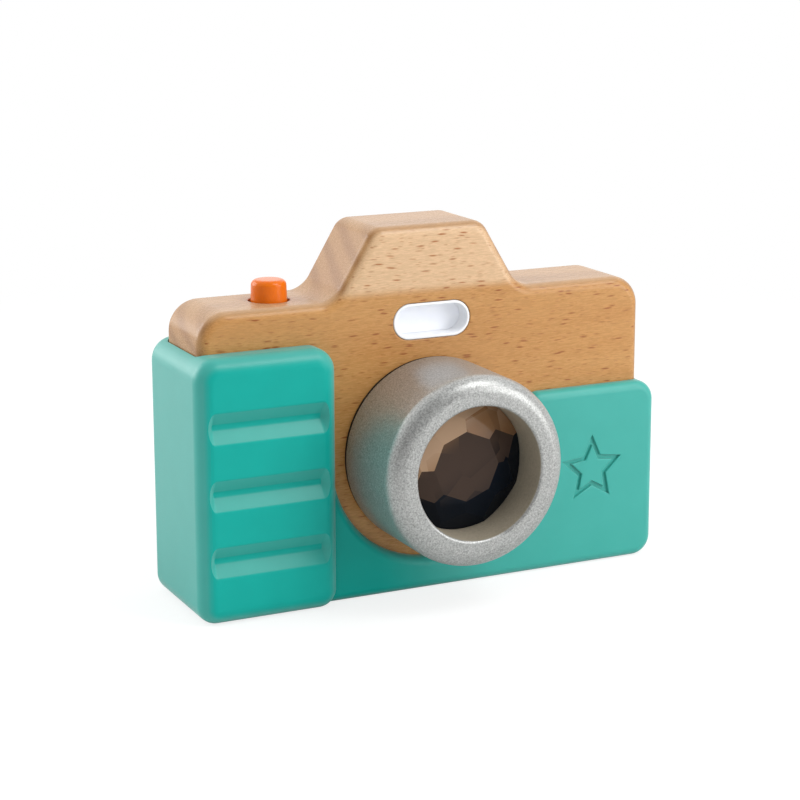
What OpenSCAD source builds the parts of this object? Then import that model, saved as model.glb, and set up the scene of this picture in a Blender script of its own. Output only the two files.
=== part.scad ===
// Wooden toy camera in a silicone grip sleeve. Millimetres, +Z up, front towards -Y.
// The origin is the middle of the sleeve's underside, with the wood centred on X and Y.

/* [Wood body] */
// Width of the wooden block
body_w = 129; // [124:1:140]
// Depth of the wooden block, front to back
body_d = 25; // [24:0.5:30]
// Height of the block from its underside to the shoulders
shoulder_h = 75.5; // [73:0.5:86]
// Height of the finder hump above the shoulders
hump_h = 18.5; // [14:0.5:26]
// Width of the hump where its slopes meet the shoulders
hump_base_w = 54; // [46:1:66]
// Width of the hump's flat top
hump_top_w = 32; // [24:1:40]
// Rounding of the front and back edges of the block
edge_r = 3; // [1.5:0.25:3.5]
// Rounding of the shoulder corners
shoulder_r = 8; // [5:0.5:11]
// Rounding of the hump's top corners
hump_top_r = 4.5; // [4:0.5:7]
// Rounding of the hump's feet, where it runs into the shoulders
hump_foot_r = 7; // [3:0.5:10]
// Rounding of the block's lower corners
bottom_r = 4; // [4:0.5:6]

/* [Grip sleeve] */
// Thickness of the sleeve's two end walls
sleeve_side = 3.5; // [2.5:0.25:5]
// Thickness of the sleeve under the wood
sleeve_floor = 3.8; // [2.5:0.1:5]
// Thickness of the sleeve's back lip
sleeve_back = 5; // [4:0.25:6]
// How far the low panel stands in front of the wood
panel_front = 3.5; // [2.75:0.25:5]
// How far the grip stands in front of the wood
grip_front = 8; // [6:0.5:11]
// Gap between the lens barrel and the grip beside it
grip_gap = 4.5; // [4:0.25:6]
// Height of the grip
grip_h = 69.2; // [64:0.5:74]
// Height of the low panel
panel_h = 50.2; // [46:0.5:58]
// Rounding of the grip's edges and of the back edges all round
grip_soft_r = 4.5; // [2:0.25:4.75]
// Rounding of the grip's upper corners, seen from the front
grip_corner_r = 6; // [5:0.5:10]
// Rounding of the grip's lower corners, seen from the front
grip_foot_r = 5; // [5:0.5:10]
// Rounding of the low panel's front edges
panel_soft_r = 2.5; // [1.5:0.25:2.75]
// Rounding of the low panel's corners, seen from the front
panel_corner_r = 5.5; // [5:0.5:8]
// Rounding of the low panel's corner beside the lens
panel_tip_r = 4; // [2:0.5:6]
// Gap between the lens barrel and the edge of the sleeve round it
cutout_gap = 4; // [2:0.25:4.5]
// Width of the back lip at the two ends, from the outside
lip_side = 7; // [6:0.25:7.5]
// Height of the back lip above the base
lip_floor = 12; // [8:0.5:12.5]
// Rounding of the back lip's inner corners
lip_corner_r = 8; // [4:0.5:12]
// Play between the sleeve and the wood
sleeve_fit = 0.1; // [0.05:0.05:0.3]

/* [Grip grooves] */
// Number of finger grooves
groove_count = 3; // [1:1:3]
// Height of the lowest groove's middle above the base
groove_z = 16.9; // [15:0.5:20]
// Spacing of the grooves
groove_pitch = 17.4; // [14:0.2:18]
// Width of a groove's mouth, up and down
groove_h = 8.4; // [6:0.2:10]
// Depth of a groove
groove_depth = 2.6; // [1.5:0.1:3.4]
// Distance from a groove's ends to the sides of the grip
groove_margin = 2.4; // [2:0.2:5]
// Length of a groove's round ends
groove_end = 2.2; // [1.4:0.2:4]
// Rounding of a groove's bottom
groove_bottom_r = 1.6; // [0.6:0.1:2]

/* [Star mark] */
// Radius of the star's points
star_r = 9.5; // [6:0.5:11]
// Radius of the star's inner corners
star_inner_r = 4.6; // [3.2:0.2:5]
// Width of the star's line
star_line = 1.3; // [0.8:0.1:1.6]
// Depth of the star in the panel
star_depth = 0.8; // [0.4:0.1:1.5]
// Distance of the star's middle from the sleeve's right end
star_inset = 20; // [16:0.5:24]
// Height of the star's middle above the base
star_z = 27; // [20:0.5:32]

/* [Lens] */
// Height of the barrel's lower side above the wood's underside
barrel_rise = 8.8; // [7.8:0.2:11.8]
// Outer diameter of the lens barrel
barrel_d = 50.4; // [48:0.4:54]
// Length of the lens barrel
barrel_l = 28.1; // [24:0.5:34]
// Wall of the barrel round the lens
barrel_wall = 7.6; // [6.5:0.1:8]
// Rounding of the barrel's front outer edge
barrel_edge_r = 4.6; // [3:0.2:5]
// Rounding of the barrel's other edges
barrel_small_r = 0.8; // [0.4:0.1:1.2]
// Depth from the barrel's front to the lens rim
lens_recess = 11.6; // [9:0.2:12]
// Thickness of the lens at its rim
lens_rim_t = 5.9; // [4:0.1:6.5]
// Height of the lens's facets above its rim
lens_crown_h = 3.6; // [2:0.2:6]
// Height of the lens's ring of middle corners above its rim
lens_belt_h = 2.2; // [1:0.1:3]
// How far the lens's ring of middle corners lies inside its rim
lens_belt_inset = 4; // [3.5:0.1:6.5]
// How far the corners of the lens's middle facet lie inside that ring
lens_table_inset = 4.9; // [4:0.1:7]
// Number of facets round the lens
lens_facets = 8; // [6:1:12]
// Play between the lens and the barrel
lens_fit = 0.1; // [0.05:0.05:0.2]
// Thickness of the barrel's inner web, which the lens rests on
barrel_web_t = 2; // [1.5:0.25:3]

/* [Lens bearing] */
// Wall of the barrel round the wooden tube that the lens turns on
barrel_socket_wall = 7.15; // [6.75:0.05:8]
// Wall of that tube
tube_wall = 2.5; // [2:0.1:4]
// Play of the tube in the barrel and in the eyepiece ring, which are glued
glue_fit = 0.05; // [0.02:0.01:0.1]
// Running clearance between the tube and its bush
running_fit = 0.06; // [0.03:0.01:0.1]
// Wall of the bush in the wood
bush_wall = 1.94; // [1.2:0.1:2.4]
// Play of the bush in the wood
bush_fit = 0.05; // [0.02:0.01:0.1]
// Thickness of the friction washer behind the barrel
washer_t = 0.6; // [0.4:0.1:1]
// How far the washer's edge lies inside the barrel's outer diameter
washer_inset = 0.3; // [0.1:0.1:2]
// End play of moving pieces
end_play = 0.3; // [0.3:0.05:0.6]
// How far the eyepiece ring reaches past the tube
eyepiece_lip = 4.5; // [3:0.25:5]
// Thickness of the eyepiece ring
eyepiece_t = 3; // [2:0.25:3.5]
// Rounding of the eyepiece ring's edges
eyepiece_edge_r = 0.9; // [0.4:0.1:0.9]

/* [Flash] */
// Distance of the flash's middle from the lens axis
flash_x = 0.5; // [-2:0.5:2]
// Distance of the flash's middle below the shoulders
flash_drop = 6.8; // [6.4:0.2:7.2]
// Width of the flash slot
flash_w = 22.5; // [18:0.5:26]
// Height of the flash slot
flash_slot_h = 9.7; // [8.4:0.1:9.9]
// Depth of the flash recess in front of its diffuser
flash_recess = 4.6; // [3:0.2:4.6]
// Wall of the flash's white cup
flash_wall = 0.8; // [0.6:0.1:1]
// Thickness of the flash's diffuser
diffuser_t = 1.2; // [0.8:0.1:1.4]
// Play of the cup in the wood and of the diffuser in the cup
flash_fit = 0.1; // [0.05:0.05:0.15]
// Diameter of the lamp
led_d = 5; // [4:0.2:5.2]
// Diameter of the lamp's collar
led_collar_d = 5.8; // [5.6:0.1:6]
// Length of the lamp behind the diffuser
led_l = 7.9; // [6:0.1:8.5]
// Thickness of the lamp's collar
led_collar_t = 1; // [0.8:0.1:1.5]
// Play of the lamp in its holes
led_fit = 0.15; // [0.1:0.05:0.25]

/* [Shutter button] */
// Distance of the button's axis from the wood's left end
button_inset = 24; // [21:0.25:25]
// Diameter of the button's cap
button_d = 9.8; // [9:0.2:10]
// How much narrower the cap is at its top
button_taper = 0.7; // [0:0.1:1]
// Height of the cap above the shoulders
button_h = 5.4; // [5:0.2:9]
// Rounding of the cap's top edge
button_edge_r = 1.5; // [0.6:0.1:2]
// Diameter of the button's hole in the wood
button_hole_d = 10.8; // [10.5:0.1:11.5]
// Play of the button's guide in the hole
guide_fit = 0.1; // [0.05:0.01:0.15]
// Length of the button's guide below the cap
guide_l = 7.8; // [6:0.2:8.4]
// Diameter of the button's flange
flange_d = 13; // [12.8:0.1:14]
// Thickness of the button's flange
flange_t = 1.5; // [1:0.1:2]
// Diameter of the button's stem
stem_d = 4.4; // [3.6:0.1:5]
// Play of the stem in the shelf
stem_fit = 0.8; // [0.4:0.1:1]
// Travel of the button
button_travel = 3; // [2:0.1:3.2]
// Thickness of the wood round the button
button_deck = 11.3; // [11:0.1:12]

/* [Button spring] */
// Length of the spring at rest
spring_l = 7; // [6.6:0.2:8]
// Outer diameter of the spring
spring_d = 9; // [8:0.2:10]
// Diameter of the spring's wire
spring_wire_d = 0.6; // [0.4:0.05:0.7]
// Number of the spring's turns
spring_turns = 5; // [3:1:5]

/* [Sound module] */
// Distance of the module's middle from the wood's left end
module_inset = 21.3; // [20.5:0.1:22.5]
// Inner width of the module's tray
tray_in_w = 24.9; // [24.5:0.1:25.6]
// Walls of the tray
tray_wall = 1.6; // [1.4:0.1:1.8]
// Play between the tray and its pocket in the wood
tray_fit = 0.2; // [0.1:0.05:0.4]
// Thickness of the wood in front of the pocket
pocket_front_wall = 4.5; // [3.5:0.1:4.6]
// Thickness of the module's back plate
plate_t = 2; // [1.6:0.1:2.4]
// How far the plate reaches past the pocket at its sides
plate_margin_x = 3; // [2.6:0.1:3.2]
// How far the plate reaches past the pocket at its top and bottom
plate_margin_z = 4.8; // [4.6:0.1:5]
// Rounding of the plate's corners
plate_corner_r = 2.4; // [1.5:0.1:3]
// Play of the plate in its rebate
plate_fit = 0.15; // [0.1:0.05:0.3]
// Distance of the plate's screws from its sides
screw_inset_x = 2.6; // [2.5:0.1:3]
// Distance of the plate's screws from its top and bottom
screw_inset_z = 2.6; // [2.5:0.1:2.8]
// Diameter of a screw's shank
screw_d = 1.8; // [1.4:0.1:2]
// Length of a screw's shank
screw_l = 8; // [6:0.5:10]
// Diameter of a screw's head
screw_head_d = 3.6; // [3:0.1:3.8]
// Height of a screw's head
screw_head_h = 1.1; // [0.8:0.1:1.2]
// Width of the cross in a screw's head
screw_slot = 0.6; // [0.4:0.1:0.8]
// Length of the cross in a screw's head
screw_slot_l = 2.5; // [1.8:0.1:2.7]
// Play of the screws in their holes
screw_fit = 0.1; // [0.05:0.05:0.2]

/* [Circuit board] */
// Thickness of the circuit board
board_t = 1.6; // [1:0.1:2]
// Play of the board in the tray
board_fit = 0.2; // [0.1:0.05:0.4]
// Width of the ledges under the board
ledge_w = 1.5; // [1:0.1:2]
// Height of the ledges under the board
ledge_h = 1.5; // [1:0.1:2.5]
// Side of the switch's square housing
switch_w = 8; // [7:0.1:8]
// Height of the switch's housing
switch_h = 7; // [6.6:0.1:7.5]
// Diameter of the switch's plunger
plunger_d = 3.5; // [3:0.1:4]
// Play of the plunger in the switch
plunger_fit = 0.1; // [0.05:0.05:0.2]
// How much of the plunger stays above the switch when pressed
plunger_spare = 0.8; // [0.4:0.1:1]
// Length of the plunger inside the switch at rest
plunger_hold = 2.6; // [2:0.1:2.8]
// How far the stem reaches below the shelf
stem_reach = 1.1; // [0.6:0.1:1.5]
// Gap between the stem and the plunger
stem_gap = 0.1; // [0.05:0.05:0.3]
// Side of the sound chip
chip_w = 5; // [4:0.2:6]
// Height of the sound chip
chip_h = 1.4; // [1:0.1:2]

/* [Speaker] */
// Diameter of the speaker
speaker_d = 19; // [17:0.2:19.4]
// Depth of the speaker's frame
speaker_frame_t = 3; // [2.4:0.1:3.2]
// Width of the frame's rim
speaker_rim = 1.2; // [0.8:0.1:1.6]
// Thickness of the frame's back
speaker_back_t = 0.8; // [0.6:0.1:1]
// Diameter of the speaker's magnet
magnet_d = 11; // [9:0.2:12]
// Thickness of the speaker's magnet
magnet_t = 2.6; // [2:0.1:2.8]
// Thickness of the speaker's cone
cone_t = 0.5; // [0.3:0.1:0.7]
// Diameter of the speaker's middle cap
cone_cap_d = 6; // [4:0.2:7]
// Gap between the speaker and the shelf above it
speaker_gap = 3.5; // [2.5:0.1:4]
// Diameter of the grille's holes
grille_hole_d = 1.8; // [1.2:0.1:2]
// Spacing of the grille's rings of holes
grille_pitch = 3.4; // [3:0.1:3.6]

/* [Batteries] */
// Diameter of a button cell
cell_d = 11.6; // [11.6:0.1:12.2]
// Thickness of a button cell
cell_t = 5.4; // [5.2:0.05:5.5]
// Number of button cells
cell_count = 3; // [3:1:3]
// Play round the cells
cell_gap = 0.3; // [0.2:0.1:0.5]
// Gap between the speaker and the roof of the battery bay
bay_gap = 1.7; // [1.2:0.1:2.2]
// Thickness of the wall between the cells and the door's screw
divider_t = 1.2; // [1:0.1:1.4]
// Thickness of the contacts
contact_t = 0.5; // [0.3:0.1:0.6]
// Width of the contacts
contact_w = 8; // [6:0.2:9]
// Room for the sprung contact
contact_spring_l = 2.4; // [1.8:0.1:2.5]
// Diameter of the sprung contact's dimple
contact_dimple_d = 4; // [3:0.2:5]
// How far the contacts reach past the bay's floor
contact_tail = 2; // [1.6:0.1:2.2]
// Overlap of the battery door on the tray's rim
door_ledge = 0.7; // [0.5:0.05:0.8]
// Play round the battery door
door_fit = 0.2; // [0.1:0.05:0.3]
// Diameter of the boss for the door's screw
boss_d = 4.2; // [3.6:0.1:4.4]
// Width of the door's finger notch
door_notch_w = 6; // [4:0.2:8]
// Depth of the door's finger notch
door_notch_d = 0.8; // [0.4:0.1:1.2]

/* [Wires] */
// Diameter of the wires
wire_d = 1; // [0.8:0.1:1.2]
// How much fatter a wire is at its bends
wire_swell = 0.1; // [0.05:0.05:0.2]
// Spacing of a pair of wires
wire_pitch = 1.4; // [1.3:0.1:1.8]
// Diameter of the lamp wires' drilled channel
channel_d = 4.4; // [3.8:0.1:5]
// Distance of the lamp wires from the tray's right wall
led_wire_inset = 1.5; // [1.3:0.1:2]
// Height of the lamp wires' bend above the shelf
led_wire_rise = 4.4; // [3:0.2:5.4]
// Distance of the speaker's wires below the board
speaker_wire_drop = 2.5; // [2:0.1:3]

/* [Hidden] */
$fn = 64;

// Length that cutters run past the faces they cut
past = 1;
// Segments of a rounded corner and of a rounded edge
corner_steps = 8;
edge_steps = 5;

// Planes of the wood and of the sleeve
front_y = -body_d / 2;
back_y = body_d / 2;
wood_z = sleeve_floor;
shoulder_z = wood_z + shoulder_h;
hump_z = shoulder_z + hump_h;
end_x = body_w / 2 + sleeve_side;

// Lens sizes, with distances counted towards the front, and the grip beside the lens
barrel_back = body_d / 2 + washer_t + end_play;
barrel_front = barrel_back + barrel_l;
barrel_r = barrel_d / 2;
lens_z = wood_z + barrel_rise + barrel_r;
hole_r = barrel_r - barrel_wall;
tube_r = barrel_r - barrel_socket_wall - glue_fit;
tube_bore_r = tube_r - tube_wall;
lens_r = hole_r - lens_fit;
lens_belt_r = lens_r - lens_belt_inset;
lens_table_r = lens_belt_r - lens_table_inset;
lens_rim_front = barrel_front - lens_recess;
lens_seat = lens_rim_front - lens_rim_t;
tube_front = lens_seat - barrel_web_t;
eyepiece_front = -(body_d / 2 + end_play);
eyepiece_back = eyepiece_front - eyepiece_t;
bush_in_r = tube_r + running_fit;
bush_out_r = bush_in_r + bush_wall;
cutout_r = barrel_r + cutout_gap;
grip_x = -(barrel_r + grip_gap);
grip_w = end_x + grip_x;

// Flash sizes
flash_z = shoulder_z - flash_drop;
cup_depth = flash_recess + diffuser_t + flash_wall;
diffuser_back_y = front_y + flash_recess + diffuser_t;
led_tip_y = diffuser_back_y + led_fit;
led_back_y = led_tip_y + led_l;

// Button and switch heights, from the pocket's ceiling down
button_x = button_inset - body_w / 2;
ceiling_z = shoulder_z - button_deck;
flange_top = ceiling_z - end_play;
flange_z = flange_top - flange_t;
shelf_top = flange_z - spring_l;
shelf_z = shelf_top - tray_wall;
stem_z = shelf_z - stem_reach;
plunger_top = stem_z - stem_gap;
switch_top = plunger_top - button_travel - plunger_spare;
board_top = switch_top - switch_h;
board_z = board_top - board_t;

// Module, speaker and battery places
module_x = module_inset - body_w / 2;
plate_y = back_y - plate_t;
pocket_y = front_y + pocket_front_wall;
tray_y = pocket_y + tray_fit;
speaker_r = speaker_d / 2;
speaker_z = shelf_z - speaker_gap - speaker_r;
speaker_back_y = plate_y - speaker_frame_t;
bay_top = speaker_z - speaker_r - bay_gap - tray_wall;
cell_z = bay_top - cell_gap - cell_d / 2;
bay_z = cell_z - cell_d / 2 - cell_gap;
tray_z = bay_z - tray_wall;
tray_in_x0 = module_x - tray_in_w / 2;
tray_in_x1 = module_x + tray_in_w / 2;
pocket_x0 = tray_in_x0 - tray_wall - tray_fit;
pocket_x1 = tray_in_x1 + tray_wall + tray_fit;
pocket_z = tray_z - tray_fit;
plate_x0 = pocket_x0 - plate_margin_x;
plate_x1 = pocket_x1 + plate_margin_x;
plate_z0 = pocket_z - plate_margin_z;
plate_z1 = ceiling_z + plate_margin_z;
cell_y = plate_y - cell_gap - cell_d / 2;
bay_floor_y = cell_y - cell_d / 2 - cell_gap;
cell_x0 = tray_in_x0 + contact_spring_l;
cell_x1 = cell_x0 + cell_count * cell_t;
divider_x = cell_x1 + contact_t;
boss_x = (divider_x + divider_t + tray_in_x1) / 2;
board_y0 = tray_y + board_fit;
board_y1 = speaker_back_y - magnet_t - board_fit;
tail_y = bay_floor_y - tray_wall - contact_tail;

// Wire routes
led_wire_x = tray_in_x1 - led_wire_inset;
led_wire_y = board_y1 - wire_pitch / 2 - wire_d / 2;
led_wire_z = shelf_top + led_wire_rise;
battery_wire_y = tail_y + wire_d / 2;
speaker_wire_y = board_y1 - wire_d;

// Points on the rounded corner at q of a path p, q, s, moved inwards by inset
function unit(v) = v / norm(v);
function left_of(v) = [-v.y, v.x];
function turned_by(v, a) = [v.x * cos(a) - v.y * sin(a), v.x * sin(a) + v.y * cos(a)];
function turn(u, v) = atan2(u.x * v.y - u.y * v.x, u * v);
function corner_points(p, q, s, r, inset) =
    let (u = unit(q - p))
    let (t = turn(u, unit(s - q)))
    let (side = sign(t))
    let (start = q - u * r * tan(abs(t) / 2))
    let (centre = start + side * r * left_of(u))
    [for (i = [0 : corner_steps])
        centre - turned_by(side * left_of(u), t * i / corner_steps) * (r - side * inset)];

// Outline with rounded corners, each given as [x, z, radius], anticlockwise from the front
function flat(c) = [c[0], c[1]];
function outline(corners, inset) =
    let (n = len(corners))
    [for (i = [0 : n - 1])
        let (p = flat(corners[(i + n - 1) % n]))
        let (s = flat(corners[(i + 1) % n]))
        each corner_points(p, flat(corners[i]), s, corners[i][2], inset)];

// Inset and place of each ring of a rounded edge, from the flat face to the side
function edge_rings(face, inwards, r) =
    [for (k = [0 : edge_steps])
        let (a = 90 * k / edge_steps)
        [r * (1 - sin(a)), face + inwards * r * (1 - cos(a))]];
function backwards(list) = [for (i = [len(list) - 1 : -1 : 0]) list[i]];

// A slab with a rounded outline and rounded front and back edges
module slab(corners, y0, y1, front_r, back_r) {
    rings = concat(edge_rings(y0, 1, front_r), backwards(edge_rings(y1, -1, back_r)));
    n = len(outline(corners, 0));
    points = [for (ring = rings) for (p = outline(corners, ring[0])) [p.x, ring[1], p.y]];
    sides = [for (j = [0 : len(rings) - 2]) for (i = [0 : n - 1])
        let (a = j * n + i)
        let (b = j * n + (i + 1) % n)
        each [[a, b, b + n], [a, b + n, a + n]]];
    front = [for (i = [n - 1 : -1 : 0]) i];
    back = [for (i = [0 : n - 1]) (len(rings) - 1) * n + i];
    polyhedron(points, concat([front], sides, [back]));
}

// A flat outline in X and Z, drawn out between two depths
module between_y(y0, y1) {
    translate([0, y1, 0]) rotate([90, 0, 0]) linear_extrude(y1 - y0) children();
}

// A box between two corners
module box(a, b) {
    translate(a) cube(b - a);
}

// A rod between two points, and a wire along several
module rod(p, q, r) {
    v = q - p;
    translate(p) rotate([0, acos(v.z / norm(v)), atan2(v.y, v.x)]) cylinder(h = norm(v), r = r);
}
module wire(points) {
    for (i = [0 : len(points) - 2]) rod(points[i], points[i + 1], wire_d / 2);
    for (i = [1 : len(points) - 2]) translate(points[i]) sphere(d = wire_d + wire_swell);
}

// Turned pieces of the lens, with their length counted towards the front
module on_lens_axis() {
    translate([0, 0, lens_z]) rotate([90, 0, 0]) children();
}
module lens_ring(r_in, r_out, back, front) {
    on_lens_axis() rotate_extrude() translate([r_in, back]) square([r_out - r_in, front - back]);
}

// A round hole along Y, from one depth to another
module hole_y(x, z, r, y0, y1) {
    translate([x, y1, z]) rotate([90, 0, 0]) cylinder(h = y1 - y0, r = r);
}

// Flat shapes with round corners
module obround(w, h) {
    square([w - h, h], center = true);
    for (s = [-1, 1]) translate([s * (w - h) / 2, 0]) circle(d = h);
}
module round_rect(x0, x1, z0, z1, r) {
    translate([x0 + r, z0]) square([x1 - x0 - 2 * r, z1 - z0]);
    translate([x0, z0 + r]) square([x1 - x0, z1 - z0 - 2 * r]);
    for (x = [x0 + r, x1 - r]) for (z = [z0 + r, z1 - r]) translate([x, z]) circle(r);
}
function arc(centre, r, a0, a1) =
    [for (k = [0 : edge_steps])
        let (a = a0 + (a1 - a0) * k / edge_steps)
        centre + r * [cos(a), sin(a)]];

// Places of the back plate's four screws
screw_places = [for (x = [plate_x0 + screw_inset_x, plate_x1 - screw_inset_x])
    for (z = [plate_z0 + screw_inset_z, plate_z1 - screw_inset_z]) [x, z]];

// Solid beech block, sawn to one outline and rounded over, with its bores and its pocket
wood_half = [
    [body_w / 2, wood_z, bottom_r], [body_w / 2, shoulder_z, shoulder_r],
    [hump_base_w / 2, shoulder_z, hump_foot_r], [hump_top_w / 2, hump_z, hump_top_r]
];
wood_corners = concat(wood_half, backwards([for (c = wood_half) [-c[0], c[1], c[2]]]));
module wood_body() {
    color("burlywood") difference() {
        slab(wood_corners, front_y, back_y, edge_r, edge_r);
        hole_y(0, lens_z, bush_out_r + bush_fit, front_y - past, back_y + past);
        flash_pocket();
        module_pocket();
        translate([button_x, 0, ceiling_z - past]) cylinder(h = button_deck + 2 * past, d = button_hole_d);
        rod([led_wire_x, led_wire_y, led_wire_z], [flash_x, led_wire_y, flash_z], channel_d / 2);
    }
}
module flash_pocket() {
    translate([flash_x, 0, flash_z]) between_y(front_y - past, front_y + cup_depth + flash_fit)
        obround(flash_w, flash_slot_h);
    led_bore_back = max(led_back_y, led_wire_y + channel_d / 2) + led_fit;
    hole_y(flash_x, flash_z, led_collar_d / 2 + led_fit, front_y + cup_depth - past, led_bore_back);
}
module module_pocket() {
    box([pocket_x0, pocket_y, pocket_z], [pocket_x1, back_y, ceiling_z]);
    between_y(plate_y, back_y + past) round_rect(plate_x0 - plate_fit, plate_x1 + plate_fit,
        plate_z0 - plate_fit, plate_z1 + plate_fit, plate_corner_r + plate_fit);
    for (p = screw_places) hole_y(p.x, p.y, screw_d / 2 + screw_fit, plate_y - screw_l, back_y);
}

// Moulded silicone sleeve: a thick grooved grip, a low panel, a floor and a back lip
grip_corners = [[-end_x, 0, grip_foot_r], [grip_x, 0, grip_foot_r],
    [grip_x, grip_h, grip_corner_r], [-end_x, grip_h, grip_corner_r]];
panel_x0 = grip_x - grip_w / 2;
panel_corners = [[panel_x0, 0, panel_corner_r], [end_x, 0, panel_corner_r],
    [end_x, panel_h, panel_corner_r], [panel_x0, panel_h, panel_corner_r]];
module grip_sleeve() {
    sleeve_back_y = back_y + sleeve_back;
    color("mediumturquoise") difference() {
        union() {
            slab(grip_corners, front_y - grip_front, sleeve_back_y, grip_soft_r, grip_soft_r);
            difference() {
                slab(panel_corners, front_y - panel_front, sleeve_back_y, panel_soft_r, grip_soft_r);
                between_y(front_y - panel_front - past, front_y) lens_cutout();
            }
        }
        block_room();
        between_y(back_y, sleeve_back_y + past) back_window();
        for (i = [0 : groove_count - 1]) finger_groove(groove_z + i * groove_pitch);
        between_y(front_y - panel_front - past, front_y - panel_front + star_depth)
            translate([end_x - star_inset, star_z]) star_outline();
    }
}
module block_room() {
    x = body_w / 2 + sleeve_fit;
    top = grip_h + bottom_r + edge_r + past;
    slab([[-x, wood_z, bottom_r], [x, wood_z, bottom_r], [x, top, bottom_r], [-x, top, bottom_r]],
        front_y - sleeve_fit, back_y + sleeve_fit, edge_r, edge_r);
}
module lens_cutout() {
    tip_z = panel_h - panel_tip_r;
    tip_x = sqrt((cutout_r + panel_tip_r) ^ 2 - (tip_z - lens_z) ^ 2);
    translate([0, lens_z]) circle(cutout_r);
    difference() {
        polygon([[panel_x0 - past, lens_z], [0, lens_z], [tip_x, tip_z], [tip_x, panel_h + past],
            [panel_x0 - past, panel_h + past]]);
        translate([tip_x, tip_z]) circle(panel_tip_r);
    }
}
module back_window() {
    x = end_x - lip_side;
    top = grip_h + past;
    translate([-x, lip_floor + lip_corner_r]) square([2 * x, top - lip_floor - lip_corner_r]);
    translate([-x + lip_corner_r, lip_floor]) square([2 * (x - lip_corner_r), lip_corner_r + past]);
    for (s = [-1, 1]) translate([s * (x - lip_corner_r), lip_floor + lip_corner_r]) circle(lip_corner_r);
}
module finger_groove(z) {
    end = groove_margin + groove_end;
    hull() for (x = [-end_x + end, grip_x - end])
        translate([x, front_y - grip_front, z]) rotate([-90, 0, 0]) scale([2 * groove_end / groove_h, 1, 1]) {
            translate([0, 0, groove_depth - groove_bottom_r]) sphere(groove_bottom_r);
            translate([0, 0, -past]) cylinder(h = past, d = groove_h);
        }
}
function star_points(r_out, r_in) =
    [for (k = [0 : 9]) (k % 2 == 0 ? r_out : r_in) * [sin(36 * k), cos(36 * k)]];
module star_outline() {
    inner = (star_inner_r - star_line) / star_inner_r;
    difference() {
        polygon(star_points(star_r, star_inner_r));
        polygon(star_points(star_r * inner, star_inner_r * inner));
    }
}

// Bush in the wood that the lens tube turns in
module lens_bush() {
    color("dimgray") lens_ring(bush_in_r, bush_out_r, -body_d / 2, body_d / 2);
}

// Friction washer on the wood behind the barrel
module lens_washer() {
    color("black") lens_ring(tube_r + end_play, barrel_r - washer_inset, body_d / 2, body_d / 2 + washer_t);
}

// Turned and silver-painted lens barrel with a web inside that the lens rests on
module lens_barrel() {
    socket_r = tube_r + glue_fit;
    back_corner = [barrel_r - barrel_small_r, barrel_back + barrel_small_r];
    front_corner = [barrel_r - barrel_edge_r, barrel_front - barrel_edge_r];
    mouth_corner = [hole_r + barrel_small_r, barrel_front - barrel_small_r];
    color("silver") on_lens_axis() rotate_extrude() polygon(concat(
        [[tube_bore_r, tube_front], [socket_r, tube_front], [socket_r, barrel_back]],
        arc(back_corner, barrel_small_r, -90, 0),
        arc(front_corner, barrel_edge_r, 0, 90),
        arc(mouth_corner, barrel_small_r, 90, 180),
        [[hole_r, lens_seat], [tube_bore_r, lens_seat]]));
}

// Wooden tube that carries the barrel and passes through the body
module lens_tube() {
    color("tan") lens_ring(tube_bore_r, tube_r, eyepiece_back, tube_front);
}

// Clear moulded lens with flat facets round a middle facet
module kaleidoscope_lens() {
    color("sienna") on_lens_axis() translate([0, 0, lens_seat]) {
        cylinder(h = lens_rim_t, r = lens_r);
        hull() {
            cylinder(h = lens_rim_t, r = lens_r - lens_fit, $fn = 2 * lens_facets);
            translate([0, 0, lens_rim_t]) cylinder(h = lens_belt_h, r = lens_belt_r, $fn = lens_facets);
            translate([0, 0, lens_rim_t]) rotate(180 / lens_facets)
                cylinder(h = lens_crown_h, r = lens_table_r, $fn = lens_facets);
        }
    }
}

// Turned ring behind the body that keeps the tube in its bush
module eyepiece_ring() {
    r = tube_r + eyepiece_lip - eyepiece_edge_r;
    color("dimgray") on_lens_axis() rotate_extrude() polygon(concat(
        [[tube_r + glue_fit, eyepiece_front], [tube_r + glue_fit, eyepiece_back]],
        arc([r, eyepiece_back + eyepiece_edge_r], eyepiece_edge_r, -90, 0),
        arc([r, eyepiece_front - eyepiece_edge_r], eyepiece_edge_r, 0, 90)));
}

// Orange button: cap, guide, flange under the wood and stem down to the switch
module shutter_button() {
    cap_r = button_d / 2;
    cap_top_r = cap_r - button_taper / 2;
    top = shoulder_z + button_h;
    guide_r = button_hole_d / 2 - guide_fit;
    guide_top = flange_top + guide_l;
    color("orangered") translate([button_x, 0, 0]) rotate_extrude() polygon(concat(
        [[0, stem_z], [stem_d / 2, stem_z], [stem_d / 2, flange_z], [flange_d / 2, flange_z],
            [flange_d / 2, flange_top], [guide_r, flange_top], [guide_r, guide_top], [cap_r, guide_top]],
        arc([cap_top_r - button_edge_r, top - button_edge_r], button_edge_r, 0, 90),
        [[0, top]]));
}

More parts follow.
